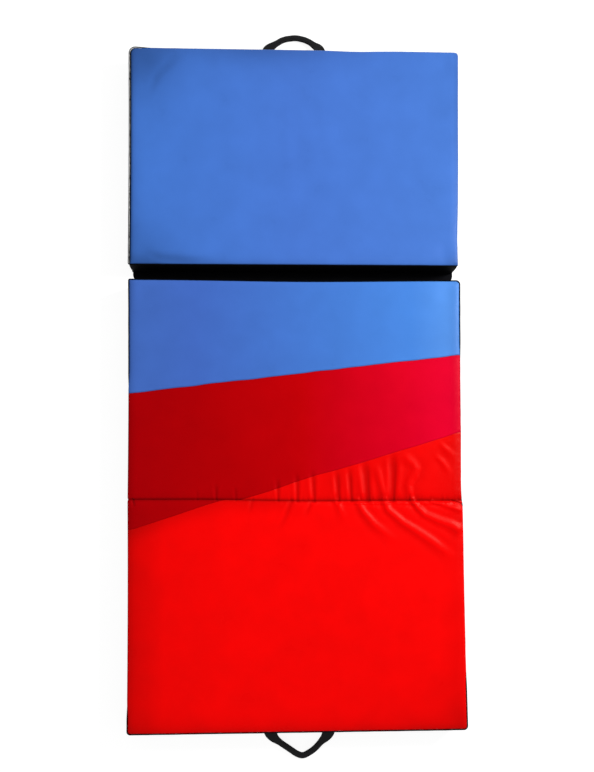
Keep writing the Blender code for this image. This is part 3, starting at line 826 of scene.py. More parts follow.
def feed(tree: bpy.types.NodeTree, node: bpy.types.Node, inputs: Mapping[str | int, Any]) -> None:
    """Gives each of a node's inputs its value, or the output that feeds it.

    Args:
        tree: the material's nodes.
        node: the node.
        inputs: a value or an output for each input's name or number.
    """
    for key, value in inputs.items():
        if isinstance(value, bpy.types.NodeSocket):
            tree.links.new(value, node.inputs[key])
        else:
            node.inputs[key].default_value = value


def calculated(tree: bpy.types.NodeTree, operation: str, *values: Any) -> bpy.types.NodeSocket:
    """The outcome of one operation on one or two values."""
    return add_node(tree, "ShaderNodeMath", {"operation": operation}, dict(enumerate(values))).outputs[0]


def ranged(tree: bpy.types.NodeTree, value: bpy.types.NodeSocket, *limits: float) -> bpy.types.NodeSocket:
    """The value, carried from the range of the first two limits to that of the last two, or to 0 to 1."""
    return add_node(tree, "ShaderNodeMapRange", inputs={0: value, **dict(enumerate(limits, 1))}).outputs[0]


def scaled(tree: bpy.types.NodeTree, vector: bpy.types.NodeSocket, factor: Any) -> bpy.types.NodeSocket:
    """The vector or colour times a factor."""
    return add_node(
        tree, "ShaderNodeVectorMath", {"operation": "SCALE"}, {0: vector, "Scale": factor}
    ).outputs[0]


def bumped(tree: bpy.types.NodeTree, strength: float, distance: float,
           height: bpy.types.NodeSocket) -> bpy.types.NodeSocket:
    """The normal that a height from 0 to 1 gives, over a distance in metres."""
    return add_node(
        tree, "ShaderNodeBump", inputs={"Strength": strength, "Distance": distance, "Height": height}
    ).outputs[0]


def new_material(
    name: str,
) -> tuple[bpy.types.Material, bpy.types.NodeTree, bpy.types.Node, bpy.types.NodeSocket]:
    """Makes a material, and gives it with its nodes, its shader and its Object coordinates.

    Args:
        name: the material's name.

    Returns:
        The material, its node tree, its shader and its Object coordinates.
    """
    made = bpy.data.materials.new(name)
    made.use_nodes = True
    tree = made.node_tree
    return made, tree, tree.nodes["Principled BSDF"], add_node(tree, "ShaderNodeTexCoord").outputs["Object"]


def fill_ramp(node: bpy.types.Node, stops: Sequence[tuple[float, str]]) -> None:
    """Sets a colour ramp's stops from (place, hex) pairs.

    Args:
        node: the colour ramp.
        stops: the pairs, in order.
    """
    elements = node.color_ramp.elements
    while len(elements) < len(stops):
        elements.new(1.0)
    for element, (place, code) in zip(elements, stops):
        element.position = place
        element.color = linear(code)


class Weave(Enum):
    """How a cloth's threads cross."""

    PLAIN = "plain"
    TWILL = "twill"
    RIBBED = "ribbed"


@dataclass(frozen=True)
class ClothFinish:
    """A woven cloth: threads in relief, uneven dye, and painted light and shade across the pad.

    ramp gives the colour from the left side (0) to the right side (1); on the coloured covers it
    holds the light's fall-off across the pad as painted light and shade. thread is the spacing of
    the threads and relief their height. mottle is how much the dye varies, from patch to patch.
    """

    name: str
    ramp: tuple[tuple[float, str], ...]
    weave: Weave = Weave.PLAIN
    thread: float = 2.4 * MM
    relief: float = 0.12 * MM
    roughness: float = 0.31
    specular: float = 0.13
    specular_tint: str = "FFFFFF"
    mottle: float = 0.04
    patch: float = 0.09

    def thread_height(self, tree: bpy.types.NodeTree, cloth: bpy.types.NodeSocket) -> bpy.types.NodeSocket:
        """Height of the threads from 0 to 1.

        Plain: the absolute sine across one set of threads or the other, by a chequer. Twill: the
        absolute sine of the sum of both. Ribbed: of the way along alone.

        Args:
            tree: the node tree.
            cloth: cloth coordinates, counted in threads.

        Returns:
            The output that carries the height.
        """
        split = add_node(tree, "ShaderNodeSeparateXYZ", inputs={0: cloth})
        along, across = split.outputs[0], split.outputs[1]
        if self.weave is Weave.TWILL:
            along = calculated(tree, "ADD", along, across)
        waves = []
        for count in (along, across):
            wave = calculated(tree, "SINE", calculated(tree, "MULTIPLY", count, math.pi))
            waves.append(calculated(tree, "ABSOLUTE", wave))
        if self.weave is not Weave.PLAIN:
            return waves[0]
        chequer = add_node(tree, "ShaderNodeTexChecker", inputs={"Vector": cloth, "Scale": 1.0})
        return add_node(
            tree, "ShaderNodeMix", {"data_type": "FLOAT"},
            {0: chequer.outputs["Fac"], 2: waves[0], 3: waves[1]},
        ).outputs[0]

    def build(self) -> bpy.types.Material:
        """Makes the material.

        Returns:
            The material, its base colour the ramp's with its painted light across the pad, darkened
            by the tone attribute's painted shade, by patches of dye and between the threads.
        """
        made, tree, shader, place = new_material(self.name)
        cloth = add_node(tree, "ShaderNodeUVMap", {"uv_map": UV_NAME}).outputs["UV"]
        height = self.thread_height(tree, scaled(tree, cloth, 1.0 / self.thread))
        across = add_node(tree, "ShaderNodeSeparateXYZ", inputs={0: place}).outputs[0]
        share = ranged(tree, across, -SIZES.width / 2, SIZES.width / 2)
        ramp = add_node(tree, "ShaderNodeValToRGB", inputs={0: share})
        fill_ramp(ramp, self.ramp)
        dye = add_node(
            tree, "ShaderNodeTexNoise", inputs={"Vector": place, "Scale": 1.0 / self.patch, "Detail": 4.0}
        ).outputs[0]
        dyed = ranged(tree, dye, 0.3, 0.7, 1.0 - self.mottle, 1.0 + self.mottle)
        between = ranged(tree, height, 0.0, 0.6, 0.93, 1.0)
        tone = add_node(
            tree, "ShaderNodeAttribute", {"attribute_name": TONE_NAME, "attribute_type": "GEOMETRY"}
        ).outputs["Fac"]
        shade = ramp.outputs[0]
        for factor in (dyed, between, tone):
            shade = scaled(tree, shade, factor)
        feed(tree, shader, {
            "Base Color": shade,
            "Roughness": ranged(tree, dye, 0.3, 0.7, self.roughness - 0.04, self.roughness + 0.04),
            "Normal": bumped(tree, 0.6, self.relief, height),
            "Specular IOR Level": self.specular,
            "Specular Tint": linear(self.specular_tint),
        })
        return made


@dataclass(frozen=True)
class FoamFinish:
    """A foam: small cells in relief and a colour that varies a little from cell to cell."""

    name: str
    light: str
    dark: str
    cell: float
    relief: float
    roughness: float

    def build(self) -> bpy.types.Material:
        """Makes the material from a Voronoi pattern at the cells' size.

        Returns:
            The material.
        """
        made, tree, shader, place = new_material(self.name)
        cells = add_node(tree, "ShaderNodeTexVoronoi", inputs={"Vector": place, "Scale": 1.0 / self.cell})
        ramp = add_node(tree, "ShaderNodeValToRGB", inputs={0: cells.outputs["Distance"]})
        fill_ramp(ramp, ((0.0, self.dark), (0.7, self.light)))
        feed(tree, shader, {
            "Base Color": ramp.outputs[0],
            "Normal": bumped(tree, 0.7, self.relief, cells.outputs["Distance"]),
            "Roughness": self.roughness,
        })
        return made


@dataclass(frozen=True)
class HardFinish:
    """A moulded or coated hard surface with fine scuffs and rubbed high spots."""

    name: str
    base: str
    rubbed: str
    roughness: float
    metallic: float
    grain: float

    def build(self) -> bpy.types.Material:
        """Makes the material: scuffs from a stretched noise lighten and roughen the base.

        Returns:
            The material.
        """
        made, tree, shader, place = new_material(self.name)
        turned = add_node(tree, "ShaderNodeMapping", inputs={0: place, "Scale": (1.0, 0.25, 1.0)}).outputs[0]
        scuff = add_node(
            tree, "ShaderNodeTexNoise", inputs={"Vector": turned, "Scale": 1.0 / self.grain, "Detail": 5.0}
        ).outputs[0]
        ramp = add_node(tree, "ShaderNodeValToRGB", inputs={0: scuff})
        fill_ramp(ramp, ((0.45, self.base), (0.75, self.rubbed)))
        feed(tree, shader, {
            "Base Color": ramp.outputs[0],
            "Roughness": ranged(tree, scuff, 0.3, 0.7, self.roughness, self.roughness + 0.15),
            "Normal": bumped(tree, 0.3, 0.05 * MM, scuff),
            "Metallic": self.metallic,
        })
        return made


class Finishes:
    """The pad's finishes, each made once."""

    # Polyurethane-coated polyester oxford, dyed in the piece. The coating is on the back, so the
    # face shows matt crossed threads with a soft satin glint on the folds. Real 600 denier threads
    # lie 0.5 mm apart, too fine to show at 3 mm a pixel, so they are drawn 2.4 mm apart. Its gloss
    # is held below a smooth plastic's, because the threads shade one another.
    # Each coloured ramp paints the light's fall-off across the pad into the colour. The head's and the
    # middle's blue are the same cloth, painted with different light.
    HEAD_BLUE = ClothFinish(
        "oxford_polyester_blue_head",
        ((0.05, "4476CE"), (0.5, "436EC2"), (0.95, "3F6AB7")),
        specular_tint="9FB8FF",
    )
    MIDDLE_BLUE = ClothFinish(
        "oxford_polyester_blue_middle",
        ((0.05, "4269BC"), (0.2, "4167BC"), (0.85, "3F77C6"), (0.955, "4A81CC")),
        specular_tint="9FB8FF",
    )
    CRIMSON = ClothFinish(
        "oxford_polyester_crimson",
        ((0.05, "A70005"), (0.27, "AD0004"), (0.52, "B70005"), (0.82, "C9001C"), (0.955, "CF0026")),
        specular_tint="FF5060",
    )
    RED = ClothFinish(
        "oxford_polyester_red",
        ((0.003, "DC0001"), (0.03, "E00001"), (0.063, "E90001"), (0.11, "F70001"), (0.3, "FA0001"),
         (0.5, "F60001"), (0.7, "F10001"), (0.92, "EE0001"), (0.985, "E40001")),
        specular_tint="FF9A8C",
    )
    # The same polyester in black, uncoated on its face: the walls. Deep black with a little fuzz.
    BLACK = ClothFinish(
        "oxford_polyester_black", ((0.0, "0B0B0D"), (1.0, "0D0D10")), roughness=0.55, specular=0.01,
        mottle=0.12,
    )
    # Grosgrain tape, woven with ribs across it, which catch light in short bars.
    BINDING = ClothFinish(
        "grosgrain_polyester_tape", ((0.0, "07070A"), (1.0, "09090D")), Weave.RIBBED, 1.2 * MM,
        0.06 * MM, 0.6, 0.01, mottle=0.10,
    )
    # Heavy coated nylon for the underside: rubber-backed, slightly shiny and dusty.
    BASE = ClothFinish(
        "coated_nylon_base", ((0.0, "18181A"), (1.0, "1B1B1E")), thread=2.0 * MM, relief=0.15 * MM,
        roughness=0.45, specular=0.3, mottle=0.25, patch=0.05,
    )
    # Nylon webbing, ribbed across its length by the thick weft; a faint shine along the ribs.
    WEBBING = ClothFinish(
        "nylon_webbing", ((0.0, "0B0B0D"), (1.0, "0E0E10")), Weave.RIBBED, 1.5 * MM, 0.25 * MM,
        0.42, 0.12, mottle=0.15, patch=0.02,
    )
    # Zip tape: polyester twill, whose diagonals only show close up.
    ZIP_TAPE = ClothFinish(
        "twill_zip_tape", ((0.0, "0A0A0C"), (1.0, "0D0D0F")), Weave.TWILL, 1.0 * MM, 0.08 * MM,
        0.6, 0.08, mottle=0.08,
    )
    # Cross-linked polyethylene, skinned and sliced: closed cells under 1 mm, drawn 1.5 mm wide.
    FIRM_FOAM = FoamFinish("polyethylene_closed_cell_foam", "3A3A3D", "2C2C2F", 1.5 * MM, 0.1 * MM, 0.85)
    # Polyurethane open-cell foam, wire-cut: cream, with torn open cells about 2 mm wide.
    SOFT_FOAM = FoamFinish("polyurethane_open_cell_foam", "E0D9B4", "BDB48A", 2.0 * MM, 0.5 * MM, 0.95)
    # Injection-moulded acetal, satin from the mould.
    TEETH = HardFinish("moulded_acetal", "121214", "1C1C1F", 0.35, 0.0, 3.0 * MM)
    # Die-cast zinc with a black electrophoretic coat, rubbed to the metal's grey on its high spots.
    SLIDER = HardFinish("black_coated_zinc", "161618", "3A3A3E", 0.32, 0.6, 2.0 * MM)

    def __init__(self) -> None:
        """Starts with nothing made."""
        self.made: dict[str, bpy.types.Material] = {}

    def of(self, finish: ClothFinish | FoamFinish | HardFinish) -> bpy.types.Material:
        """The finish's material, made at its first use."""
        if finish.name not in self.made:
            self.made[finish.name] = finish.build()
        return self.made[finish.name]


# ---------------------------------------------------------------- top covers


@dataclass(frozen=True)
class Crease:
    """A soft valley in the cover: a line of corners, how deep and how wide it is.

    Places are metres from the fold's middle. The depth is full from the line's first corner and
    fades over its last part. Its section is a bell with low ridges beside it, where the cloth
    bulges: 1 - 1.25 s² times e to the power of minus s², s being the distance over the width.
    """

    points: tuple[tuple[float, float], ...]
    depth: float
    width: float
    fade_from: float = 0.35
    fade_in: float = 0.0

    def depth_at(self, x: Array, y: Array) -> Array:
        """How far the crease lowers each place of the cover.

        Args:
            x: places across the pad.
            y: places along the pad.

        Returns:
            The depth at each place.
        """
        points = [(px, FOLD_Y + py) for px, py in self.points]
        distance, share = line_distance(x, y, points)
        faded = 1.0 - eased(share, self.fade_from, 1.0)
        if self.fade_in:
            faded = faded * eased(share, 0.0, self.fade_in)
        width = self.width * (0.75 + 0.5 * share)
        return self.depth * faded * (1.0 - 1.25 * (distance / width) ** 2) * bell(distance, width)

    def covers(self, x: Array, y: Array, reach: float) -> Array:
        """Whether each place lies within reach times the crease's width."""
        points = [(px, FOLD_Y + py) for px, py in self.points]
        return line_distance(x, y, points)[0] < reach * self.width


@dataclass(frozen=True)
class Shade:
    """A soft dark place on a cover, where it turns away from the light.

    Places are metres from the fold's middle. It is share strong at its middle and fades by a bell
    over its reach across and along.
    """

    x: float
    y: float
    across: float
    along: float
    share: float

    def at(self, x: Array, y: Array) -> Array:
        """The lightness that it leaves at each place."""
        return 1.0 - self.share * bell(x - self.x, self.across) * bell(y - FOLD_Y - self.y, self.along)


@dataclass(frozen=True)
class Seam:
    """A flat seam between two colours: a straight line, towards whose left its allowance lies."""

    start: tuple[float, float]
    end: tuple[float, float]
    # shade is painted shade: how much the tone darkens along the seam's line.
    shade: float = 0.18
    groove: float = 0.6 * MM
    groove_width: float = 1.8 * MM
    allowance: float = 9.0 * MM
    allowance_rise: float = 0.25 * MM

    @property
    def normal(self) -> Array:
        """The level direction across the seam, towards the head.

        Returns:
            A vector of length 1, as (across, along).
        """
        along = np.subtract(self.end, self.start)
        along = along / np.linalg.norm(along)
        return np.array([-along[1], along[0]])

    def across(self, x: Array, y: Array) -> Array:
        """Signed distance from the seam's line, positive towards the head."""
        normal = self.normal
        return (x - self.start[0]) * normal[0] + (y - FOLD_Y - self.start[1]) * normal[1]

    def rise(self, distance: Array) -> Array:
        """Height that the seam adds: a groove at the line and a low step over its allowance.

        Args:
            distance: signed distances from the seam's line.

        Returns:
            The height at each of them.
        """
        step = self.allowance_rise * eased(distance, 0.3 * MM, 2.5 * MM)
        step = step * (1 - eased(distance, self.allowance - 2.5 * MM, self.allowance))
        return step - self.groove * bell(distance, self.groove_width)


@dataclass
class SettledCloth:
    """A coarse cloth simulation of a stuffed cover, held at its bound seams and blown up softly."""

    panel: PanelForm
    seed: int
    cell: float = 14.0 * MM
    pressure: float = 2.2
    excess: float = 0.012
    frames: int = 20
    share: float = 0.12
    cap: float = 1.0 * MM
    uneven: float = 0.25 * MM

    def relief(self) -> tuple[Array, Array, Array]:
        """Runs the simulation.

        The cloth starts as the panel's plan with a seeded unevenness, a little larger than its
        frame, and its rim is pinned. The foam holds the cover up, so only a share of how far each
        point stays below the highest is kept: cap times the tanh of share times that over cap.

        Returns:
            The grid's columns, its rows, and the height at each (row, column), never above 0.
        """
        half = SIZES.cover_half
        xs = np.linspace(-half, half, round(2 * half / self.cell) + 1)
        span = self.panel.cover_high - self.panel.cover_low
        ys = np.linspace(self.panel.cover_low, self.panel.cover_high, round(span / self.cell) + 1)
        x, y = np.meshgrid(xs, ys)
        rim = np.zeros(x.shape, bool)
        rim[[0, -1]] = rim[:, [0, -1]] = True
        random = np.random.default_rng(self.seed)
        z = np.where(rim, 0.0, random.uniform(-1.0, 1.0, x.shape) * self.uneven)
        mesh = bpy.data.meshes.new("settling")
        quads = grid_quads(*x.shape).reshape(-1, 4)
        mesh.from_pydata(np.stack([x, y, z], axis=-1).reshape(-1, 3), [], quads.tolist())
        cloth = linked("settling", mesh)
        held = cloth.vertex_groups.new(name="held")
        held.add(np.flatnonzero(rim).tolist(), 1.0, "REPLACE")
        modifier = cloth.modifiers.new("cloth", "CLOTH")
        settings = modifier.settings
        settings.quality = 6
        settings.mass = 0.35
        settings.tension_stiffness = settings.compression_stiffness = 25.0
        settings.shear_stiffness = 12.0
        settings.bending_stiffness = 0.8
        settings.vertex_group_mass = "held"
        settings.use_pressure = True
        settings.uniform_pressure_force = self.pressure
        settings.shrink_min = -self.excess
        settings.effector_weights.gravity = 0.0
        modifier.point_cache.frame_end = self.frames
        scene = bpy.context.scene
        for step in range(1, self.frames + 1):
            scene.frame_set(step)
        settled = cloth.evaluated_get(bpy.context.evaluated_depsgraph_get())
        heights = np.empty(len(mesh.vertices) * 3, np.float32)
        settled.data.vertices.foreach_get("co", heights)
        rise = heights.reshape(-1, 3)[:, 2].reshape(x.shape).astype(float)
        scene.frame_set(1)
        bpy.data.objects.remove(cloth, do_unlink=True)
        bpy.data.meshes.remove(mesh)
        LOG.info("%s cover settled, rise %.1f mm", self.panel.name, float(rise.max()) / MM)
        return xs, ys, self.cap * np.tanh(self.share * (rise - float(rise.max())) / self.cap)


def sampled(xs: Array, ys: Array, values: Array, x: Array, y: Array) -> Array:
    """Reads a coarse grid smoothly: each place weighs 4 by 4 neighbours by Catmull-Rom cubics.

    Args:
        xs: the grid's places across the pad.
        ys: its places along the pad.
        values: its values, a row for each place along.
        x: places across to read at.
        y: places along to read at.

    Returns:
        The value at each place.
    """
    across = (x - xs[0]) / (xs[1] - xs[0])
    along = (y - ys[0]) / (ys[1] - ys[0])
    column, row = np.floor(across).astype(int), np.floor(along).astype(int)
    total = np.zeros(x.shape)

    def weights(t: Array) -> tuple[Array, ...]:
        """The four cubic weights at a share of the way between the middle two neighbours.

        Args:
            t: the shares.

        Returns:
            Each neighbour's weight, in order.
        """
        return (
            0.5 * (-t + 2 * t**2 - t**3), 0.5 * (2 - 5 * t**2 + 3 * t**3),
            0.5 * (t + 4 * t**2 - 3 * t**3), 0.5 * (-(t**2) + t**3),
        )

    for down, by_row in zip(range(-1, 3), weights(along - row)):
        for over, by_column in zip(range(-1, 3), weights(across - column)):
            r = np.clip(row + down, 0, len(ys) - 1)
            c = np.clip(column + over, 0, len(xs) - 1)
            total += values[r, c] * by_row * by_column
    return total


class Field(Enum):
    """A coloured field of the top covers: its piece name, its slot and the nodes that it is for."""

    HEAD = ("head_cover_blue", "blue_cover", ("head_top_cover",))
    BLUE = ("middle_cover_blue", "blue_cover", ("middle_top_blue",))
    CRIMSON = ("folding_cover_crimson", "crimson_cover", ("middle_top_crimson", "foot_top_crimson"))
    RED = ("folding_cover_red", "red_cover", ("middle_top_red", "foot_top_red"))


@dataclass
class TopCovers:
    """The coloured fabric on top: one cover on the head, one over the middle, the fold and the foot."""

    finishes: Finishes
    across_step: float = 6.4 * MM
    along_step: float = 6.8 * MM
    pleat_step: float = 5.0 * MM
    # The shades below are painted into the tone: darkening at valleys, on the red piece above the fold,
    # beside the foot's seam, along the seams' lines and at the fold.
    valley_shade: float = 0.24
    middle_red_painted_shade: float = 0.14
    slack_shade: float = 0.22
    slack_reach: float = 28.0 * MM
    seam_line: float = 1.8 * MM
    fold_shade: float = 0.32
    fold_shade_reach: float = 4.5 * MM
    fold_strip_shade: float = 0.26
    fold_gather: float = 1.1 * MM
    gather_wave: float = 16.0 * MM
    gather_reach: float = 13.0 * MM
    fold_line: tuple[tuple[float, float], ...] = (
        (-0.5, 6.0 * MM), (-0.28, 5.5 * MM), (-0.12, 2.0 * MM), (0.04, -1.5 * MM), (0.3, -0.5 * MM),
        (0.5, -1.5 * MM),
    )
    seam_sway: float = 0.9 * MM
    red_bow: float = 5.5 * MM
    pleat_reach: float = 96.0 * MM
    pucker: float = 0.85 * MM
    pucker_wave: float = 17.0 * MM
    pucker_reach: float = 13.0 * MM
    turn_reach: float = 14.0 * MM
    edge_steps: tuple[float, ...] = (0.0, 1.2, 2.6, 4.4, 6.6, 9.1, 12.5, 16.5, 20.5, 25.0)
    fold_steps: tuple[float, ...] = (0.0, 0.6, 1.3, 2.2, 3.4, 5.0, 7.0, 9.5, 12.5)
    seam_cuts: tuple[float, ...] = (-5.0, -2.6, -1.2, 0.0, 1.2, 2.6, 5.0, 8.0, 10.0)
    blue_seam: Seam = Seam((-0.5, 0.3206), (0.5, 0.4380), 0.5)
    red_seam: Seam = Seam((-0.1690, 0.0), (0.5, 0.2055))
    foot_seam: Seam = Seam((-0.5, -0.0860), (-0.2160, 0.0))
    creases: tuple[Crease, ...] = (
        # Gathered above the fold: valleys between broad ridges, deeper towards the right
        Crease(((-0.295, 0.0), (-0.295, 0.040)), 0.7 * MM, 7.0 * MM),
        Crease(((-0.238, 0.0), (-0.240, 0.060)), 1.5 * MM, 8.0 * MM),
        Crease(((-0.181, 0.0), (-0.182, 0.050)), 1.1 * MM, 7.5 * MM),
        Crease(((-0.055, 0.0), (-0.057, 0.070)), 2.0 * MM, 9.0 * MM, 0.5),
        Crease(((0.002, 0.0), (0.001, 0.085)), 2.2 * MM, 9.5 * MM, 0.5),
        Crease(((0.052, 0.0), (0.047, 0.095)), 2.6 * MM, 10.5 * MM, 0.5),
        Crease(((0.125, 0.0), (0.120, 0.100)), 2.8 * MM, 11.0 * MM, 0.5),
        Crease(((0.163, 0.0), (0.158, 0.110)), 2.6 * MM, 10.0 * MM, 0.5),
        Crease(((0.213, 0.0), (0.204, 0.125)), 4.4 * MM, 15.0 * MM, 0.6),
        Crease(((0.288, 0.0), (0.290, 0.075), (0.291, 0.150)), 4.8 * MM, 14.5 * MM, 0.55),
        Crease(((0.267, 0.0), (0.252, 0.055), (0.238, 0.115)), -2.2 * MM, 14.0 * MM, 0.7),
        Crease(((0.353, 0.0), (0.341, 0.022), (0.336, 0.045), (0.343, 0.065), (0.355, 0.081), (0.359, 0.095),
                (0.350, 0.109), (0.332, 0.123), (0.312, 0.136)), -2.0 * MM, 16.0 * MM, 0.8),
        Crease(((0.425, 0.178), (0.452, 0.152), (0.490, 0.116)), -1.4 * MM, 13.0 * MM, 0.4, 0.4),
        Crease(((0.412, 0.140), (0.440, 0.115), (0.460, 0.085), (0.463, 0.050)),
               -1.2 * MM, 13.0 * MM, 0.4, 0.3),
        # Pulled from the fold across the foot panel: long ridges that curve to its right side
        Crease(((0.120, 0.0), (0.133, -0.035), (0.155, -0.075)), -1.9 * MM, 15.0 * MM, 0.2),
        Crease(((0.182, 0.0), (0.200, -0.035), (0.230, -0.071), (0.274, -0.106), (0.325, -0.142)),
               -3.4 * MM, 16.5 * MM, 0.3),
        Crease(((0.262, 0.0), (0.274, -0.029), (0.317, -0.067), (0.360, -0.093), (0.403, -0.123),
                (0.446, -0.157), (0.478, -0.190)), -4.0 * MM, 16.5 * MM, 0.6),
        Crease(((0.348, 0.0), (0.362, -0.020), (0.383, -0.042), (0.422, -0.060), (0.460, -0.074),
                (0.497, -0.097)), -4.3 * MM, 14.5 * MM, 0.9),
        Crease(((0.405, -0.002), (0.455, -0.017), (0.497, -0.032)), -2.4 * MM, 10.0 * MM, 0.9),
        Crease(((0.100, -0.0075), (0.300, -0.0075), (0.470, -0.0075)), -1.5 * MM, 5.5 * MM, 0.97, 0.3),
        Crease(((0.468, 0.0), (0.485, -0.006), (0.496, -0.013)), 2.6 * MM, 4.0 * MM, 0.9),
        # Faint ones that fan out to the left
        Crease(((-0.015, 0.0), (-0.040, -0.060), (-0.060, -0.100)), 1.3 * MM, 12.0 * MM),
        Crease(((0.045, 0.0), (0.020, -0.055)), 1.2 * MM, 11.0 * MM),
        Crease(((-0.485, 0.0), (-0.478, -0.025)), 1.8 * MM, 6.4 * MM),
        Crease(((-0.130, 0.0), (-0.145, -0.045)), 0.9 * MM, 10.0 * MM),
    )
    head_creases: tuple[Crease, ...] = (
        # Soft folds at the head panel's left corners
        Crease(((-0.440, 1.225), (-0.415, 1.285), (-0.365, 1.338), (-0.335, 1.362)),
               1.2 * MM, 19.0 * MM, 0.6, 0.3),
        Crease(((-0.455, 0.752), (-0.410, 0.735), (-0.330, 0.724), (-0.225, 0.721)),
               1.9 * MM, 17.0 * MM, 0.5, 0.2),
    )
    crease_cap: float = 4.4 * MM
    # The head's cover is slack at its left corners and turns from the light; its right side rolls down
    head_shades: tuple[Shade, ...] = (
        Shade(-0.50, 1.378, 0.145, 0.145, 0.50), Shade(-0.10, 1.385, 0.24, 0.055, 0.32),
        Shade(-0.50, 0.709, 0.13, 0.13, 0.30), Shade(-0.42, 0.722, 0.14, 0.022, 0.22),
        Shade(-0.20, 0.709, 0.25, 0.016, 0.15), Shade(0.50, 1.04, 0.013, 1.0, 0.30),
        Shade(-0.50, 1.04, 0.010, 1.0, 0.20), Shade(-0.50, 0.92, 0.030, 0.20, 0.12),
        Shade(0.50, 1.25, 0.09, 0.20, 0.05), Shade(0.49, 0.709, 0.03, 0.03, 0.25),
    )
    # The other cover darkens where it rolls down at its sides and towards its lower edge
    folding_shades: tuple[Shade, ...] = (
        Shade(-0.50, 0.30, 0.008, 0.6, 0.22), Shade(0.50, 0.50, 0.05, 0.12, 0.12),
        Shade(0.50, 0.35, 0.024, 0.6, 0.20), Shade(-0.50, -0.35, 0.010, 0.5, 0.12),
        Shade(-0.50, 0.66, 0.022, 0.10, 0.18), Shade(0.0, -0.69, 9.0, 0.045, 0.20),
        Shade(0.50, -0.66, 0.14, 0.12, 0.15),
    )

    @property
    def seams(self) -> tuple[tuple[Seam, bool], ...]:
        """The seams of the folding cover, and whether each lies on the foot panel."""
        return (self.blue_seam, False), (self.red_seam, False), (self.foot_seam, True)

    def lines(self, panels: Sequence[PanelForm]) -> tuple[Array, Array]:
        """Grid lines across and along a cover, close together at its edges and at the fold.

        Args:
            panels: the cover's panels, from the foot's end.

        Returns:
            The places across and the places along.
        """
        edge, fold = np.array(self.edge_steps) * MM, np.array(self.fold_steps) * MM
        half = SIZES.cover_half
        xs = spaced(-half, half, edge, edge, self.across_step)
        low, high = panels[0].cover_low, panels[-1].cover_high
        if len(panels) == 1:
            return xs, spaced(low, high, edge, edge, self.along_step)
        fine = np.arange(fold[-1], self.pleat_reach, self.pleat_step)[1:]
        fold = np.concatenate([fold, fine])
        below = spaced(low, FOLD_Y, edge, fold, self.along_step)
        above = spaced(FOLD_Y, high, fold, edge, self.along_step)
        return xs, np.concatenate([below, above[1:]])

    def plan(self, panels: Sequence[PanelForm]) -> tuple[Array, list[Array]]:
        """The cover's flat plan: its grid, cut along the colour seams and beside them.

        Args:
            panels: the panels that the cover lies on, from the foot's side.

        Returns:
            The plan's points, and its faces as arrays of quads and of triangles.
        """
        xs, ys = self.lines(panels)
        x, y = np.meshgrid(xs, ys)
        quads = grid_quads(*x.shape).reshape(-1, 4)
        points = np.stack([x, y, np.zeros_like(x)], axis=-1).reshape(-1, 3)
        if len(panels) == 1:
            return points, [quads]
        mesh = bpy.data.meshes.new("plan")
        mesh.from_pydata(points, [], quads.tolist())
        shape = bmesh.new()
        shape.from_mesh(mesh)
        bpy.data.meshes.remove(mesh)
        self.refine(shape)
        for seam, on_foot in self.seams:
            normal = seam.normal
            for cut in self.seam_cuts:
                side = [f for f in shape.faces if (f.calc_center_median().y < FOLD_Y) == on_foot]
                parts = {item for face in side for item in (face, *face.edges, *face.verts)}
                start = np.array(seam.start) + normal * cut * MM
                bmesh.ops.bisect_plane(
                    shape, geom=list(parts), dist=0.02 * MM,
                    plane_co=(start[0], FOLD_Y + start[1], 0.0), plane_no=(*normal, 0.0),
                )
        bmesh.ops.triangulate(shape, faces=[face for face in shape.faces if len(face.verts) > 4])
        shape.verts.index_update()
        points = np.array([point.co[:] for point in shape.verts])
        faces = [[corner.index for corner in face.verts] for face in shape.faces]
        shape.free()
        return points, [np.array([face for face in faces if len(face) == size]) for size in (3, 4)]

    def refine(self, shape: bmesh.types.BMesh) -> None:
        """Halves the cells beside the fold and where the creases lie, and again in their valleys.

        Args:
            shape: the cover's flat plan, changed in place.
        """
        for reach, strip in ((2.3, 22.0 * MM), (0.9, 0.0)):
            middles = np.array([face.calc_center_median()[:2] for face in shape.faces])
            near = np.abs(middles[:, 1] - FOLD_Y) < strip
            for crease in self.creases:
                near |= crease.covers(middles[:, 0], middles[:, 1], reach)
            edges = {edge for face, wanted in zip(list(shape.faces), near) if wanted for edge in face.edges}
            bmesh.ops.subdivide_edges(shape, edges=list(edges), cuts=1, use_grid_fill=True)

    def fold_pucker(self, x: Array, y: Array) -> Array:
        """Small gathers beside the fold's stitching, deeper to the right, that fade out from it.

        Args:
            x: places across the pad.
            y: places along the pad.

        Returns:
            The gathers' depth at each place.
        """
        away = np.abs(y - FOLD_Y)
        wave = 0.5 + 0.5 * wander(x + 0.5, 1.0, self.gather_wave, 7) * np.sign(y - FOLD_Y + 1e-9)
        depth = self.fold_gather * (0.35 + 0.65 * eased(x, -0.35, 0.30)) * np.where(y < FOLD_Y, 0.45, 1.0)
        past_seam = bell(np.maximum(away - 4.0 * MM, 0.0), self.gather_reach)
        return depth * wave * past_seam * eased(away, 0.0, 3.0 * MM)

    def fold_tone(self, x: Array, y: Array) -> Array:
        """Shade gathered at the fold: a dark seam, and a dark strip above it that widens rightwards.

        Args:
            x: places across the pad.
            y: places along the pad.

        Returns:
            The share of the light that is left at each place.
        """
        away = y - FOLD_Y
        strip = (4.5 + 5.0 * eased(x, -0.3, 0.3)) * MM
        above = self.fold_strip_shade * bell(np.maximum(away - 1.0 * MM, 0.0), strip) * (away > 0)
        return (1.0 - self.fold_shade * bell(away, self.fold_shade_reach)) * (1.0 - above)

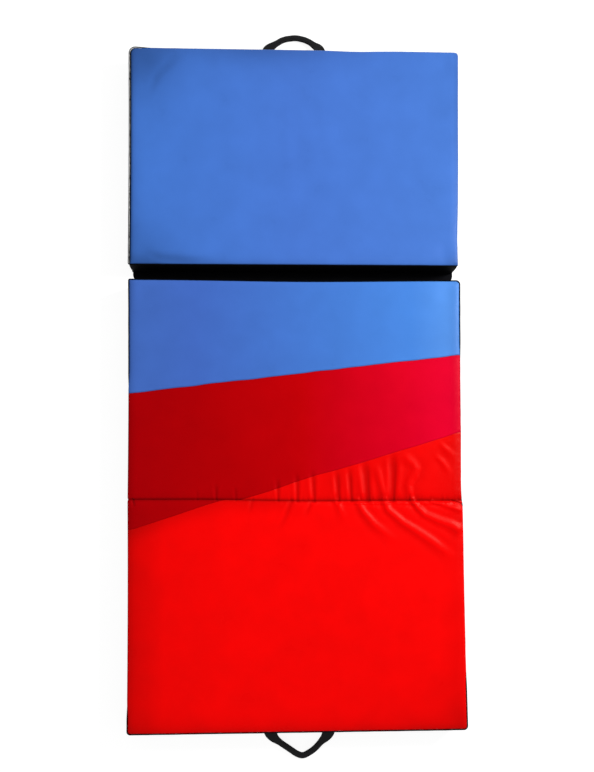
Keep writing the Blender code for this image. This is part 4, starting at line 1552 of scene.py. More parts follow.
    def below_seam(self, x: Array, y: Array, on_foot: Array) -> Array:
        """Shade on the foot's red cloth, slack beside the left half of its upper seam.

        Args:
            x: places across the pad.
            y: places along the pad.
            on_foot: which places lie on the foot panel.

        Returns:
            The share of the light that is left at each place.
        """
        corners = [(px, FOLD_Y + py) for px, py in (self.foot_seam.start, self.foot_seam.end, (0.2, 0.0))]
        near = bell(line_distance(x, y, corners)[0], self.slack_reach) * (1 - eased(x, -0.10, 0.12))
        return 1.0 - self.slack_shade * near * (on_foot & (self.foot_seam.across(x, y) < 0))

    def edge_pucker(self, x: Array, y: Array, panels: Sequence[PanelForm]) -> Array:
        """Small gathers beside the bound seams, deeper here and there.

        Args:
            x: places across the pad.
            y: places along the pad.
            panels: the cover's panels, from the foot's end.

        Returns:
            The gathers' depth at each place.
        """
        half = SIZES.cover_half
        low, high = panels[0].cover_low, panels[-1].cover_high
        side = half - np.abs(x)
        end = np.minimum(y - low, high - y)
        seed = 11 if len(panels) == 1 else 12
        along_side = wander(y - low, high - low, self.pucker_wave, seed)
        along_end = wander(x + half, 2 * half, self.pucker_wave, seed + 10)
        patches = 0.6 + 0.4 * patchy(x, y, 0.11, seed)
        depth = (0.5 + 0.5 * along_side) * np.exp(-side / self.pucker_reach)
        depth = depth + (0.5 + 0.5 * along_end) * np.exp(-end / self.pucker_reach)
        return self.pucker * patches * depth

    def surface(self, plan: Array, panels: Sequence[PanelForm]) -> tuple[Array, Array]:
        """Lifts the plan to the finished cover.

        The height is the stuffed top's, less the creases, the puckers and what the simulation
        settled by, plus the seams' own relief. A painted shade darkens the cloth towards a valley's
        bottom by valley_shade times one minus e to the power of minus its depth / 2 mm. The red piece
        above the fold gets more of the key light than the foot, so a painted shade darkens it too.

        Args:
            plan: the flat plan's points.
            panels: the panels that the cover lies on.

        Returns:
            The cover's points, and its tone at each.
        """
        x, y = plan[:, 0], plan[:, 1]
        height, tone, settled = np.zeros(len(x)), np.ones(len(x)), np.zeros(len(x))
        folding = len(panels) > 1
        on_foot = folding & (y < FOLD_Y - 0.01 * MM)
        owners = list(zip(panels, (on_foot, ~on_foot) if folding else (~on_foot,)))
        for index, (panel, here) in enumerate(owners):
            height[here] = panel.top_height(x[here], y[here])
            xs, ys, rise = SettledCloth(panel, seed=21 + index + len(panels)).relief()
            settled[here] = sampled(xs, ys, rise, x[here], y[here])
        height += settled - 0.1 * MM
        height -= self.edge_pucker(x, y, panels)
        sunk = sum(crease.depth_at(x, y) for crease in (self.creases if folding else self.head_creases))
        sunk = self.crease_cap * np.tanh(sunk / self.crease_cap)
        height -= sunk
        tone -= self.valley_shade * (1.0 - np.exp(-np.maximum(sunk, 0.0) / (2.0 * MM)))
        low, high = panels[0].cover_low, panels[-1].cover_high
        inland = np.minimum(y - low, high - y)
        if folding:
            height -= self.fold_pucker(x, y)
            for seam, below in self.seams:
                distance, there = seam.across(x, y), on_foot == below
                height += np.where(there, seam.rise(distance), 0.0)
                tone = tone * np.where(there, 1.0 - seam.shade * bell(distance, self.seam_line), 1.0)
            tone = tone * self.fold_tone(x, y)
            # Painted shade on the red piece above the fold, which the key light lights more than the foot.
            tone = tone * (1.0 - self.middle_red_painted_shade * (~on_foot & (self.red_seam.across(x, y) < 0)))
            tone = tone * self.below_seam(x, y, on_foot)
            inland = np.minimum(inland, np.abs(y - FOLD_Y))
        half = SIZES.cover_half
        for shade in self.folding_shades if folding else self.head_shades:
            tone = tone * shade.at(x, y)
        sway = self.seam_sway * wander(x + half, 2 * half, 0.15, 17) * eased(inland, 0.01, 0.12)
        if folding:
            above = y - FOLD_Y
            bowed = self.red_bow * bell(x - 0.01, 0.14) * bell(above - 0.07, 0.05)
            sway = sway + bowed * eased(above, 0.0, 0.05)
        corners = (*panels[-1].corners[:2], *panels[0].corners[2:])
        rim = eased(np.abs(x), half - 12.0 * MM, half)
        x, y = self.rounded(x, y, half, low, high, corners)
        if folding:
            sway = sway + np.interp(x, *np.transpose(self.fold_line)) * bell(y - FOLD_Y, 0.04)
        y = y + sway
        for panel, here in owners:
            side, end = panel.laps(x[here], y[here])
            x[here] += np.sign(x[here]) * SIZES.lap_out * rim[here] * side
            y[here] += SIZES.lap_out * end * eased(y[here], high - 12.0 * MM, high)
            x[here], y[here] = panel.settled(x[here], y[here])
        return np.stack([x, y, height], axis=1), tone

    @staticmethod
    def rounded(x: Array, y: Array, half: float, low: float, high: float,
                corners: Sequence[float]) -> tuple[Array, Array]:
        """Moves the points of the four square corners into round ones.

        In a corner square, across becomes across times the root of 1 - along² / 2, and the other
        way round, which turns the square's rim into the circle's.

        Args:
            x: places across the pad.
            y: places along the pad.
            half: half the cover's width.
            low: the cover's low edge.
            high: the cover's high edge.
            corners: the outline's corner radii, anticlockwise from the high right one.

        Returns:
            The moved places, across and along.
        """
        right, up = x > 0, y > (low + high) / 2
        radius = np.select([right & up, ~right & up, ~right & ~up], corners[:3], corners[3])
        radius = radius - SIZES.cover_inset
        across = np.maximum(0.0, np.abs(x) - (half - radius)) / radius
        past_high, past_low = y - (high - radius), (low + radius) - y
        along = np.maximum(np.maximum(past_high, past_low), 0.0) / radius
        inside = (across > 0) & (along > 0)
        new_x = np.sign(x) * (half - radius + radius * across * np.sqrt(1 - along**2 / 2))
        reach = radius * along * np.sqrt(1 - across**2 / 2)
        new_y = np.where(past_high > past_low, high - radius + reach, low + radius - reach)
        return np.where(inside, new_x, x), np.where(inside, new_y, y)

    def field_faces(self, plan: Array, faces: Array) -> Array:
        """Which field each face of the folding cover belongs to, by its middle.

        Args:
            plan: the flat plan's points.
            faces: each face's points, by number.

        Returns:
            0 for blue, 1 for crimson and 2 for red.
        """
        middle = plan[faces].mean(axis=1)
        x, y = middle[:, 0], middle[:, 1]
        on_foot = y < FOLD_Y
        blue = ~on_foot & (self.blue_seam.across(x, y) > 0)
        crimson = np.where(on_foot, self.foot_seam.across(x, y) > 0, self.red_seam.across(x, y) > 0)
        return np.where(blue, 0, np.where(crimson, 1, 2))

    def add_field(self, field: Field, finish: ClothFinish, points: Array, tone: Array, flat: Array,
                  groups: Sequence[Array]) -> bpy.types.Object:
        """Makes one field: its faces above, the same below by the fabric's thickness, and a rim.

        Args:
            field: which field.
            finish: its cloth.
            points: the whole cover's points.
            tone: the whole cover's tone.
            flat: the whole cover's plan, which gives the cloth coordinates.
            groups: the field's faces, as arrays of triangles and of quads.

        Returns:
            The piece.
        """
        groups = [faces for faces in groups if len(faces)]
        used, packed = np.unique(np.concatenate([faces.ravel() for faces in groups]), return_inverse=True)
        lengths = np.cumsum([faces.size for faces in groups])[:-1]
        groups = [part.reshape(-1, faces.shape[1]) for part, faces in zip(np.split(packed, lengths), groups)]
        top = points[used]
        count = len(top)
        starts = np.concatenate([faces.ravel() for faces in groups])
        ends = np.concatenate([np.roll(faces, -1, axis=1).ravel() for faces in groups])
        forward, backward = starts * count + ends, ends * count + starts
        rim = ~np.isin(forward, backward)
        walls = np.stack([ends[rim], starts[rim], starts[rim] + count, ends[rim] + count], axis=1)
        below = top - np.array([0.0, 0.0, SIZES.fabric])
        polygons = groups + [faces[:, ::-1] + count for faces in groups] + [walls]
        plan = np.vstack([flat[used][:, :2]] * 2)
        shell = Shell()
        shell.add(np.vstack([top, below]), polygons, [plan[faces] for faces in polygons],
                  np.concatenate([tone[used]] * 2))
        name, slot, nodes = field.value
        made = shell.make(name, self.finishes.of(finish), 60.0)
        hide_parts(*nodes)
        return made

    @staticmethod
    def declare(piece: bpy.types.Object, panels: Sequence[PanelForm], area: float | None) -> None:
        """Takes the field's size and does nothing with it.

        Args:
            piece: the field's piece; not used.
            panels: the panels whose foam it rests on; not used.
            area: its flat area, or None for a rectangle; not used.
        """

    @staticmethod
    def top_area(piece: bpy.types.Object) -> float:
        """The area of a field seen from above: half the sum of its faces' level areas.

        Args:
            piece: the field's piece.

        Returns:
            The area in square metres.
        """
        count = len(piece.data.polygons)
        areas, normals = np.empty(count), np.empty(count * 3)
        piece.data.polygons.foreach_get("area", areas)
        piece.data.polygons.foreach_get("normal", normals)
        return float((areas * np.abs(normals.reshape(-1, 3)[:, 2])).sum() / 2)

    def dress(self) -> dict[Field, bpy.types.Object]:
        """Builds both covers, and rides the head's field and the blue field on their panels.

        Returns:
            The piece of every field.
        """
        plan, groups = self.plan([HEAD])
        points, tone = self.surface(plan, [HEAD])
        made = {Field.HEAD: self.add_field(Field.HEAD, Finishes.HEAD_BLUE, points, tone, plan, groups)}
        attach(made[Field.HEAD], HEAD.body)
        plan, groups = self.plan([FOOT, MIDDLE])
        points, tone = self.surface(plan, [FOOT, MIDDLE])
        parts = [self.field_faces(plan, faces) for faces in groups]
        looks = (
            (Field.BLUE, Finishes.MIDDLE_BLUE), (Field.CRIMSON, Finishes.CRIMSON), (Field.RED, Finishes.RED),
        )
        for index, (field, finish) in enumerate(looks):
            own = [faces[part == index] for faces, part in zip(groups, parts)]
            made[field] = self.add_field(field, finish, points, tone, plan, own)
        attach(made[Field.BLUE], MIDDLE.body)
        for field in (Field.CRIMSON, Field.RED):
            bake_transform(made[field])
        for field, piece in made.items():
            area = None if field is Field.HEAD else self.top_area(piece)
            panels = {Field.HEAD: [HEAD], Field.BLUE: [MIDDLE]}.get(field, [FOOT, MIDDLE])
            self.declare(piece, panels, area)
        return made


# ---------------------------------------------------------------- walls, bindings, base


@dataclass
class SideBand:
    """The black wall of fabric round one panel's foam, a ring that swells at mid-height."""

    panel: PanelForm
    finishes: Finishes
    step: float = 6.0 * MM
    rows: int = 13
    pucker: float = 0.55 * MM
    pucker_wave: float = 21.0 * MM
    slack: float = 0.45 * MM
    slack_wave: float = 160.0 * MM

    def dress(self) -> bpy.types.Object:
        """Builds the band.

        Its outer face lies in from the outline by the wall's inset, plus puckers that are deepest
        at both seams and a slow slackness that is deepest between them, so it never stands out.

        Returns:
            The piece.
        """
        outline = Outline.rounded(self.panel, 0.0, self.step)
        shares = 0.5 - 0.5 * np.cos(np.linspace(0.0, math.pi, self.rows))
        lapped = self.panel.lapped(*outline.places.T)
        top = SIZES.band_high - SIZES.tuck_drop * lapped
        heights = SIZES.band_low + (top - SIZES.band_low) * shares[:, None]
        along = outline.travelled[:-1]
        seed = int(self.panel.low * 1000) % 97
        towards_seam = np.abs(2 * shares - 1)[:, None] ** 4
        gathers = 0.5 + 0.5 * wander(along, outline.length, self.pucker_wave, seed)
        lower = 0.5 + 0.5 * wander(along, outline.length, self.pucker_wave, seed + 1)
        gathers = np.where(shares[:, None] > 0.5, gathers, lower)
        slack = 0.5 + 0.5 * wander(along, outline.length, self.slack_wave, seed + 2)
        inset = SIZES.wall_inset(heights) + self.pucker * towards_seam * gathers
        inset = inset + self.slack * (1 - towards_seam) * slack
        outer = self.ring(outline, inset, heights)
        inner = self.ring(outline, inset + SIZES.fabric, heights)
        places = np.vstack([outer, inner[::-1]])
        climb = np.concatenate([heights, heights[::-1] + 0.001, heights[:1]])[:, 0]
        shell = Shell()
        shell.add_grid(places, climb, outline.travelled, ring_rows=True)
        made = shell.make(f"{self.panel.name}_wall_band", self.finishes.of(Finishes.BLACK), 60.0)
        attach(made, self.panel.body)
        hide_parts(f"{self.panel.name}_side_band")
        return made

    @staticmethod
    def ring(outline: Outline, inset: Array, heights: Array) -> Array:
        """Rows of points round the outline, each moved in by inset and set at its height."""
        places = outline.places[None] - outline.outward[None] * inset[..., None]
        return np.concatenate([places, heights[..., None]], axis=-1)


@dataclass
class BoundSeam:
    """A bound seam: folded tape round the edges of two fabrics, with a row of stitches through it."""

    panel: PanelForm
    finishes: Finishes
    is_top: bool
    step: float = 4.5 * MM
    section_points: int = 14
    sway: float = 0.15 * MM
    sway_wave: float = 80.0 * MM
    swell: float = 0.03
    lap: float = 0.07
    squareness: float = 2.6
    thread_turn: float = 128.0

    def dress(self) -> bpy.types.Object:
        """Builds the tape and its stitches.

        The section is a superellipse whose radius steps down by lap where the tape's edge ends on
        the inner side, and swells and shrinks by an uneven wave along the seam.

        Returns:
            The piece.
        """
        folded = self.panel.fold_low or self.panel.fold_high
        is_open = self.is_top and folded
        outline = Outline.rounded(self.panel, SIZES.binding, self.step, free_end=is_open)
        along = outline.travelled if is_open else outline.travelled[:-1]
        height = SIZES.top_binding_z if self.is_top else SIZES.base_binding_z
        seed = int(self.panel.high * 1000) % 89 + (5 if self.is_top else 0)
        sway = self.sway * wander(along, outline.length, self.sway_wave, seed)
        swell = 1.0 - self.swell * (1.0 + wander(along, outline.length, self.sway_wave / 3, seed + 1))
        radius = SIZES.binding - self.sway
        turn = np.linspace(0.0, math.tau, self.section_points, endpoint=False)
        section = flattened_section(2 * radius, 2 * radius, self.section_points, self.squareness)
        inner = 1.0 - self.lap * eased(np.cos(turn - math.radians(150)), 0.2, 0.5)
        section = section * inner[:, None]
        out = section[None, :, 0] * swell[:, None] + sway[:, None]
        up = section[None, :, 1] * swell[:, None] + 0.4 * sway[:, None]
        lapped = self.panel.lapped(*outline.places.T) if self.is_top else np.zeros(len(outline.places))
        out, up = out - (SIZES.tuck_inset * lapped)[:, None], up - (SIZES.tuck_drop * lapped)[:, None]
        level = outline.places[:, None] + outline.outward[:, None] * out[..., None]
        places = np.concatenate([level, height + up[..., None]], axis=-1)
        around = np.linspace(0.0, math.tau * radius, self.section_points + 1)
        shell = Shell()
        shell.add_grid(places, outline.travelled, around, ring_rows=not is_open)
        if self.is_top:
            turn = math.radians(self.thread_turn)
            face = np.array([math.cos(turn), math.sin(turn)])
            inward = face[0] * radius * 0.98 + sway - SIZES.tuck_inset * lapped
            sewn = outline.places + outline.outward * inward[:, None]
            level = height + face[1] * radius * 0.98 + 0.4 * sway - SIZES.tuck_drop * lapped
            away = np.column_stack([outline.outward * face[0], np.full(len(sewn), face[1])])
            Stitching().sew(shell, np.column_stack([sewn, level]), away, closed=not is_open)
        words = "top" if self.is_top else "base"
        made = shell.make(f"{self.panel.name}_{words}_bound_seam", self.finishes.of(Finishes.BINDING), 60.0)
        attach(made, self.panel.body)
        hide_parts(f"{self.panel.name}_{words}_binding")
        return made


@dataclass
class FoamBlock:
    """One foam layer: a block with rounded edges, its top following the stuffed cover if asked."""

    panel: PanelForm
    finishes: Finishes
    layer: str
    finish: FoamFinish
    slot: str
    low: float
    high: float
    edge: float
    sag: float = 0.0
    crowned: bool = False
    fill: float = 0.9

    def dress(self) -> bpy.types.Object:
        """Builds the block from rings carried from the middle of its underside to that of its top.

        A ring is the panel's outline scaled towards the middle by a share. At the edges the shares
        and heights follow a quarter circle, and between them the wall draws in by the sag.

        Returns:
            The piece.
        """
        outline = Outline.rounded(self.panel, SIZES.cover_inset + 0.4 * MM, 14.0 * MM)
        middle = outline.places.mean(axis=0)
        turns = np.linspace(0.0, math.pi / 2, 4)
        wall = np.linspace(0.0, 1.0, 5)[1:-1]
        under = (0.02, 0.4, 0.75, 0.93)
        rows: list[tuple[float, float, float]] = [(share, 0.0, 0.0) for share in under]
        rows += [(1.0, self.edge * (1 - math.sin(t)), self.edge * (1 - math.cos(t))) for t in turns]
        span = self.high - self.low
        rows += [(1.0, self.sag * 4 * w * (1 - w), self.edge + (span - 2 * self.edge) * w) for w in wall]
        rows += [(1.0, self.edge * (1 - math.cos(t)), span - self.edge * (1 - math.sin(t))) for t in turns]
        rows += [(share, 0.0, span) for share in reversed(under)]
        places = []
        for share, inset, rise in rows:
            level = middle + (outline.places - middle) * share - outline.outward * inset
            height = np.full(len(level), self.low + rise)
            if self.crowned and rise > span / 2:
                dropped = SIZES.thickness - self.panel.top_height(level[:, 0], level[:, 1])
                height -= dropped * rise / span
            places.append(np.column_stack([level, height]))
        grid = np.stack(places)
        shell = Shell()
        shell.add_grid(grid, np.arange(len(rows)) * 0.02, outline.travelled)
        made = shell.make(f"{self.panel.name}_{self.layer}_foam_block", self.finishes.of(self.finish), 60.0)
        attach(made, self.panel.body)
        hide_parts(f"{self.panel.name}_{self.layer}_foam")
        return made


@dataclass
class BaseCover:
    """The coated fabric under a panel: flat on the ground, with a hem sewn round it."""

    panel: PanelForm
    finishes: Finishes
    hem: float = 14.0 * MM
    hem_rise: float = 0.15 * MM

    def dress(self) -> bpy.types.Object:
        """Builds the sheet as rings from its middle out and back, and the hem's stitches.

        Outside the hem's line the underside lies at the ground. Inside it, it is higher by the
        hem's thickness, so that the hem shows as a step.

        Returns:
            The piece.
        """
        outline = Outline.rounded(self.panel, SIZES.cover_inset, 8.0 * MM)
        middle = outline.places.mean(axis=0)
        insets = np.array([0.0, 0.4 * MM, self.hem - 1.0 * MM, self.hem, self.hem + 6.0 * MM])
        rises = np.array([0.25 * MM, 0.0, 0.0, self.hem_rise, self.hem_rise])
        places = []
        for inset, rise in zip(insets, rises):
            level = outline.drawn_in(inset)
            places.append(np.column_stack([level, np.full(len(level), rise)]))
        inner = outline.drawn_in(insets[-1])
        for share in (0.9, 0.6, 0.3, 0.02):
            level = middle + (inner - middle) * share
            quilt = 0.12 * MM * patchy(level[:, 0], level[:, 1], 0.12, 3)
            places.append(np.column_stack([level, self.hem_rise + np.abs(quilt)]))
        under = np.stack(places)
        over = under.copy()
        over[..., 2] = SIZES.fabric
        grid = np.concatenate([under[::-1], over])
        shell = Shell()
        shell.add_grid(grid, np.arange(len(grid)) * 0.03, outline.travelled)
        for inset in (self.hem - 2.0 * MM, self.hem - 7.0 * MM):
            route = outline.drawn_in(inset)
            route = np.column_stack([route, np.full(len(route), 0.30 * MM)])
            down = np.tile([0.0, 0.0, -1.0], (len(route), 1))
            Stitching(radius=0.25 * MM).sew(shell, route, down, closed=True)
        made = shell.make(f"{self.panel.name}_base_sheet", self.finishes.of(Finishes.BASE), 40.0)
        layer = made.data.uv_layers[UV_NAME]
        corners = np.empty(len(made.data.loops), np.int32)
        made.data.loops.foreach_get("vertex_index", corners)
        points = np.empty(len(made.data.vertices) * 3, np.float32)
        made.data.vertices.foreach_get("co", points)
        layer.data.foreach_set("uv", points.reshape(-1, 3)[corners][:, :2].ravel())
        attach(made, self.panel.body)
        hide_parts(f"{self.panel.name}_base_cover")
        return made


@dataclass
class GroundStrip:
    """The strip of fabric along the ground that joins the head and the middle panel."""

    finishes: Finishes
    half_width: float = 0.497
    taper: float = 0.018
    thickness: float = 1.2 * MM
    wave: float = 0.9 * MM
    turn_reach: float = 19.0 * MM

    def dress(self) -> bpy.types.Object:
        """Builds the strip: flat under both panels' seams, slightly rippled in the gap between.

        The ripple is an uneven wave across the pad times a low arch across the gap, and only
        rises. The strip narrows by the taper towards the middle panel. Each half's outer edge
        takes its panel's bows, which fade out towards the fold.

        Returns:
            The piece.
        """
        reach = SIZES.cover_inset - SIZES.seat
        start, end = MIDDLE.high - reach, HEAD.low + reach
        ys = np.linspace(start, end, 25)
        xs = np.linspace(-self.half_width, self.half_width, 189)
        x, y = np.meshgrid(xs, ys)
        ripple = 0.5 + 0.5 * wander(x + self.half_width, 2 * self.half_width, 60.0 * MM, 31)
        rise = self.wave * ripple * np.clip(1 - ((y - GROUND_FOLD_Y) / (15.0 * MM)) ** 2, 0.0, 1.0)
        share = (y - GROUND_FOLD_Y) / (end - GROUND_FOLD_Y)
        x = x * (1.0 - self.taper * eased(-share, -0.6, 0.6))
        y = y + MIDDLE.bowed(x, MIDDLE.high_bows) * np.clip(-share, 0.0, 1.0)
        y = y + HEAD.bowed(x, HEAD.low_bows) * np.clip(share, 0.0, 1.0)
        over = np.stack([x, y, SIZES.seat + self.thickness + rise], axis=-1)
        under = over - np.array([0.0, 0.0, self.thickness])
        places = np.concatenate([over, under[:, ::-1]], axis=1)
        around = np.concatenate([xs, xs[::-1] + 0.01, xs[:1]])
        shell = Shell()
        shell.add_grid(places, ys, around)
        made = shell.make("ground_fold_strip", self.finishes.of(Finishes.BLACK), 50.0)
        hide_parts("middle_hinge_strip", "head_hinge_strip")
        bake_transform(made)
        return made


# ---------------------------------------------------------------- zips


@dataclass
class Zip:
    """A zip in a panel's left wall: woven tape, moulded teeth with end stops, and a slider."""

    panel: PanelForm
    finishes: Finishes
    end_margin: float = 0.053
    height: float = 0.030
    tape_width: float = 0.030
    tape_thickness: float = 0.8 * MM
    teeth_width: float = 6.0 * MM
    teeth_thickness: float = 1.8 * MM
    pitch: float = 3.2 * MM
    slider_length: float = 9.0 * MM
    slider_height: float = 11.0 * MM
    slider_thickness: float = 4.0 * MM
    pull_length: float = 19.0 * MM
    tooth_share: float = 0.42
    tooth_lap: float = 0.8 * MM
    shoulder_share: float = 0.6
    tip_share: float = 0.6
    stop_inset: float = 1.2 * MM
    stop_half: float = 1.1 * MM
    waist_share: float = 0.18
    waist_reach: float = 2.2 * MM
    body_share: float = 0.55
    body_edge: float = 0.4 * MM
    bridge_size: tuple[float, float] = (2.6 * MM, 8.4 * MM)
    bridge_rise: float = 0.6 * MM
    bridge_sink: float = 0.2 * MM
    bridge_shoulder: float = 3.4 * MM
    pull_width: float = 6.4 * MM
    pull_trim: float = 1.5 * MM
    pull_neck_share: float = 0.22
    pull_thickness: float = 1.3 * MM
    pull_edge: float = 0.3 * MM
    pull_out: float = 2.2 * MM
    pull_lap: float = 3.0 * MM
    hole_size: tuple[float, float] = (2.6 * MM, 7.0 * MM)
    hole_drop: float = 3.5 * MM
    hole_edge: float = 0.2 * MM
    rim_points: int = 28

    def face(self, y: Array, z: Array, outset: Array) -> Array:
        """Points on the left wall's form, moved out of it by outset."""
        x, y = self.panel.settled(-SIZES.width / 2 + SIZES.wall_inset(z) - outset, y)
        return np.stack([x, y, z + 0.0 * y], axis=-1)

    def dress(self) -> list[bpy.types.Object]:
        """Builds the tape, the teeth and the slider."""
        return [self.tape(), self.teeth(), self.slider()]

    @property
    def ends(self) -> tuple[float, float]:
        """Where the zip starts and ends along the pad."""
        return self.panel.low + self.end_margin, self.panel.high - self.end_margin

    def tape(self) -> bpy.types.Object:
        """The tape: a thin sheet on the wall, with a row of stitches along each long edge.

        Returns:
            The piece.
        """
        start, end = self.ends
        ys = np.linspace(start, end, 113)
        zs = self.height + self.tape_width * np.linspace(-0.5, 0.5, 13)
        y, z = np.meshgrid(ys, zs, indexing="ij")
        wave = 0.25 * MM * (0.5 + 0.5 * wander(y - start, end - start, 26.0 * MM, 41))
        edge = np.abs(2 * (z - self.height) / self.tape_width) ** 6
        outset = SIZES.seat + self.tape_thickness + wave * edge
        over = self.face(y, z, outset)
        under = self.face(y, z, outset - self.tape_thickness)
        places = np.concatenate([over, under[:, ::-1]], axis=1)
        shell = Shell()
        shell.add_grid(places, ys, np.concatenate([zs, zs[::-1] + 0.04, zs[:1]]))
        flush = np.full(len(ys), SIZES.seat + self.tape_thickness)
        for sign in (-1, 1):
            for inset in (2.5 * MM, 5.0 * MM):
                level = self.height + sign * (self.tape_width / 2 - inset)
                route = self.face(ys, np.full(len(ys), level), flush)
                Stitching().sew(shell, route, np.tile([-1.0, 0.0, 0.0], (len(ys), 1)))
        made = shell.make(f"{self.panel.name}_zip_cloth", self.finishes.of(Finishes.ZIP_TAPE), 50.0)
        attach(made, self.panel.body)
        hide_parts(f"{self.panel.name}_zip_tape")
        return made

    def teeth(self) -> bpy.types.Object:
        """The teeth: two rows of rounded blocks that mesh at the middle, and a stop at each end.

        A tooth is a box with its outer edges cut: eight points below, four above, drawn in.

        Returns:
            The piece.
        """
        start, end = self.ends
        count = int((end - start - 2 * self.pitch) / self.pitch)
        at = start + self.pitch * (np.arange(2 * count) / 2 + 1.0)
        sign = np.where(np.arange(2 * count) % 2 == 0, 1.0, -1.0)
        length, reach = self.tooth_share * self.pitch, self.teeth_width / 2
        at = np.concatenate([at, [start + self.stop_inset, end - self.stop_inset]])
        sign = np.append(sign, [1.0, 1.0])
        half_y = np.append(np.full(2 * count, length / 2), [self.stop_half] * 2)
        low = np.append(np.full(2 * count, -self.tooth_lap), [-reach] * 2)
        base_out = 2 * SIZES.seat + self.tape_thickness
        corners = np.array([(-1, 0), (1, 0), (1, 1), (-1, 1)])
        layers = []
        shoulder = self.shoulder_share * self.teeth_thickness
        for out, shrink in ((0.0, 1.0), (shoulder, 1.0), (self.teeth_thickness, self.tip_share)):
            y = at[:, None] + corners[None, :, 0] * half_y[:, None] * shrink
            middle = (low + reach) / 2
            half_z = (reach - low) / 2 - (1 - shrink) * 0.5 * MM
            rise = middle[:, None] + (2 * corners[None, :, 1] - 1) * half_z[:, None]
            z = self.height + sign[:, None] * rise
            layers.append(self.face(y, z, np.full(y.shape, base_out + out)))
        points = np.stack(layers, axis=1).reshape(len(at), 12, 3)
        here = np.arange(4)
        after = np.roll(here, -1)
        belt = np.stack([here, after, after + 4, here + 4], axis=1)
        quads = np.vstack([belt, belt + 4, [[3, 2, 1, 0], [8, 9, 10, 11]]])
        shell = Shell()
        for keep in (sign > 0, sign < 0):
            shift = (np.arange(int(keep.sum())) * 12)[:, None, None]
            shell.add(points[keep].reshape(-1, 3), [(quads[None] + shift).reshape(-1, 4)])
        made = shell.make(f"{self.panel.name}_zip_chain", self.finishes.of(Finishes.TEETH), 30.0)
        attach(made, self.panel.body)
        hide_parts(f"{self.panel.name}_zip_teeth")
        return made

    @staticmethod
    def plate(shell: Shell, rim: Array, out: Sequence[tuple[float, float]]) -> None:
        """Adds a plate that faces out of the left wall: its rim carried through (out, shrink) steps.

        Each step is the rim scaled towards its middle by shrink and moved out of the wall by out.

        Args:
            shell: the mesh that gets it.
            rim: (points, 2) places as (along, up), at the left wall.
            out: how far out and how large each step is.
        """
        middle = rim.mean(axis=0)
        rows = []
        for distance, shrink in out:
            level = middle + (rim - middle) * shrink
            rows.append(np.column_stack([np.full(len(rim), -distance), level]))
        grid = np.stack(rows)
        shell.add_grid(grid, np.arange(len(rows)) * 0.002, np.linspace(0.0, 0.03, len(rim) + 1))

    def slider(self) -> bpy.types.Object:
        """The slider: a waisted body, a bridge over it, and a pull with a hole that hangs from it.

        Returns:
            The piece.
        """
        box_low, box_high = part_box(f"{self.panel.name}_zip_slider")
        inner = box_high[0]
        middle_y = (box_low[1] + box_high[1]) / 2
        base = self.height - self.slider_height / 2
        shell = Shell()
        body = flattened_section(self.slider_length, self.slider_height, self.rim_points, 3.2)
        body[:, 0] *= 1.0 - self.waist_share * bell(body[:, 1], self.waist_reach)
        body = body + [middle_y, self.height]
        edge, depth = self.body_edge, self.slider_thickness * self.body_share
        self.plate(shell, body, ((-inner, 0.90), (-inner + edge, 1.0), (-inner + depth - edge, 1.0),
                                 (-inner + depth, 0.88)))
        bridge = flattened_section(*self.bridge_size, 20, 3.0) + [middle_y, self.height + self.bridge_rise]
        self.plate(shell, bridge, ((-inner + depth - self.bridge_sink, 1.0),
                                   (-inner + self.bridge_shoulder, 0.95),
                                   (-inner + self.slider_thickness, 0.72)))
        outer = flattened_section(self.pull_width, self.pull_length - self.pull_trim, self.rim_points, 4.0)
        widened = np.clip(-outer[:, 1] / (self.pull_length / 2), -1.0, 1.0)
        outer[:, 0] *= 1.0 - self.pull_neck_share + self.pull_neck_share * widened
        centre = np.array([middle_y, base + self.pull_lap - self.pull_length / 2])
        hole = flattened_section(*self.hole_size, self.rim_points, 2.4) + [0.0, -self.hole_drop]
        outset = -inner + self.pull_out
        thick, edge, lip = self.pull_thickness, self.pull_edge, self.hole_edge
        rows = [
            (outer, 0.0, 0.94), (outer, edge, 1.0), (outer, thick - edge, 1.0), (outer, thick, 0.94),
            (hole, thick, 1.1), (hole, thick - lip, 1.0), (hole, lip, 1.0), (hole, 0.0, 1.1),
        ]
        grid = []
        for rim, out, scale in rows:
            pivot = rim.mean(axis=0)
            level = centre + pivot + (rim - pivot) * scale
            grid.append(np.column_stack([np.full(len(rim), -(outset + out)), level]))
        along = np.arange(len(rows) + 1) * 0.002
        around = np.linspace(0.0, 0.04, self.rim_points + 1)
        shell.add_grid(np.stack(grid), along, around, ring_rows=True)
        made = shell.make(f"{self.panel.name}_zip_runner", self.finishes.of(Finishes.SLIDER), 35.0)
        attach(made, f"{self.panel.name}_slider")
        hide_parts(f"{self.panel.name}_zip_slider")
        return made


# ---------------------------------------------------------------- carry handles


class End(Enum):
    """Which end wall a handle is on: the wall's place and the way out of it."""

    HEAD = (HEAD.high, 1)
    FOOT = (FOOT.low, -1)


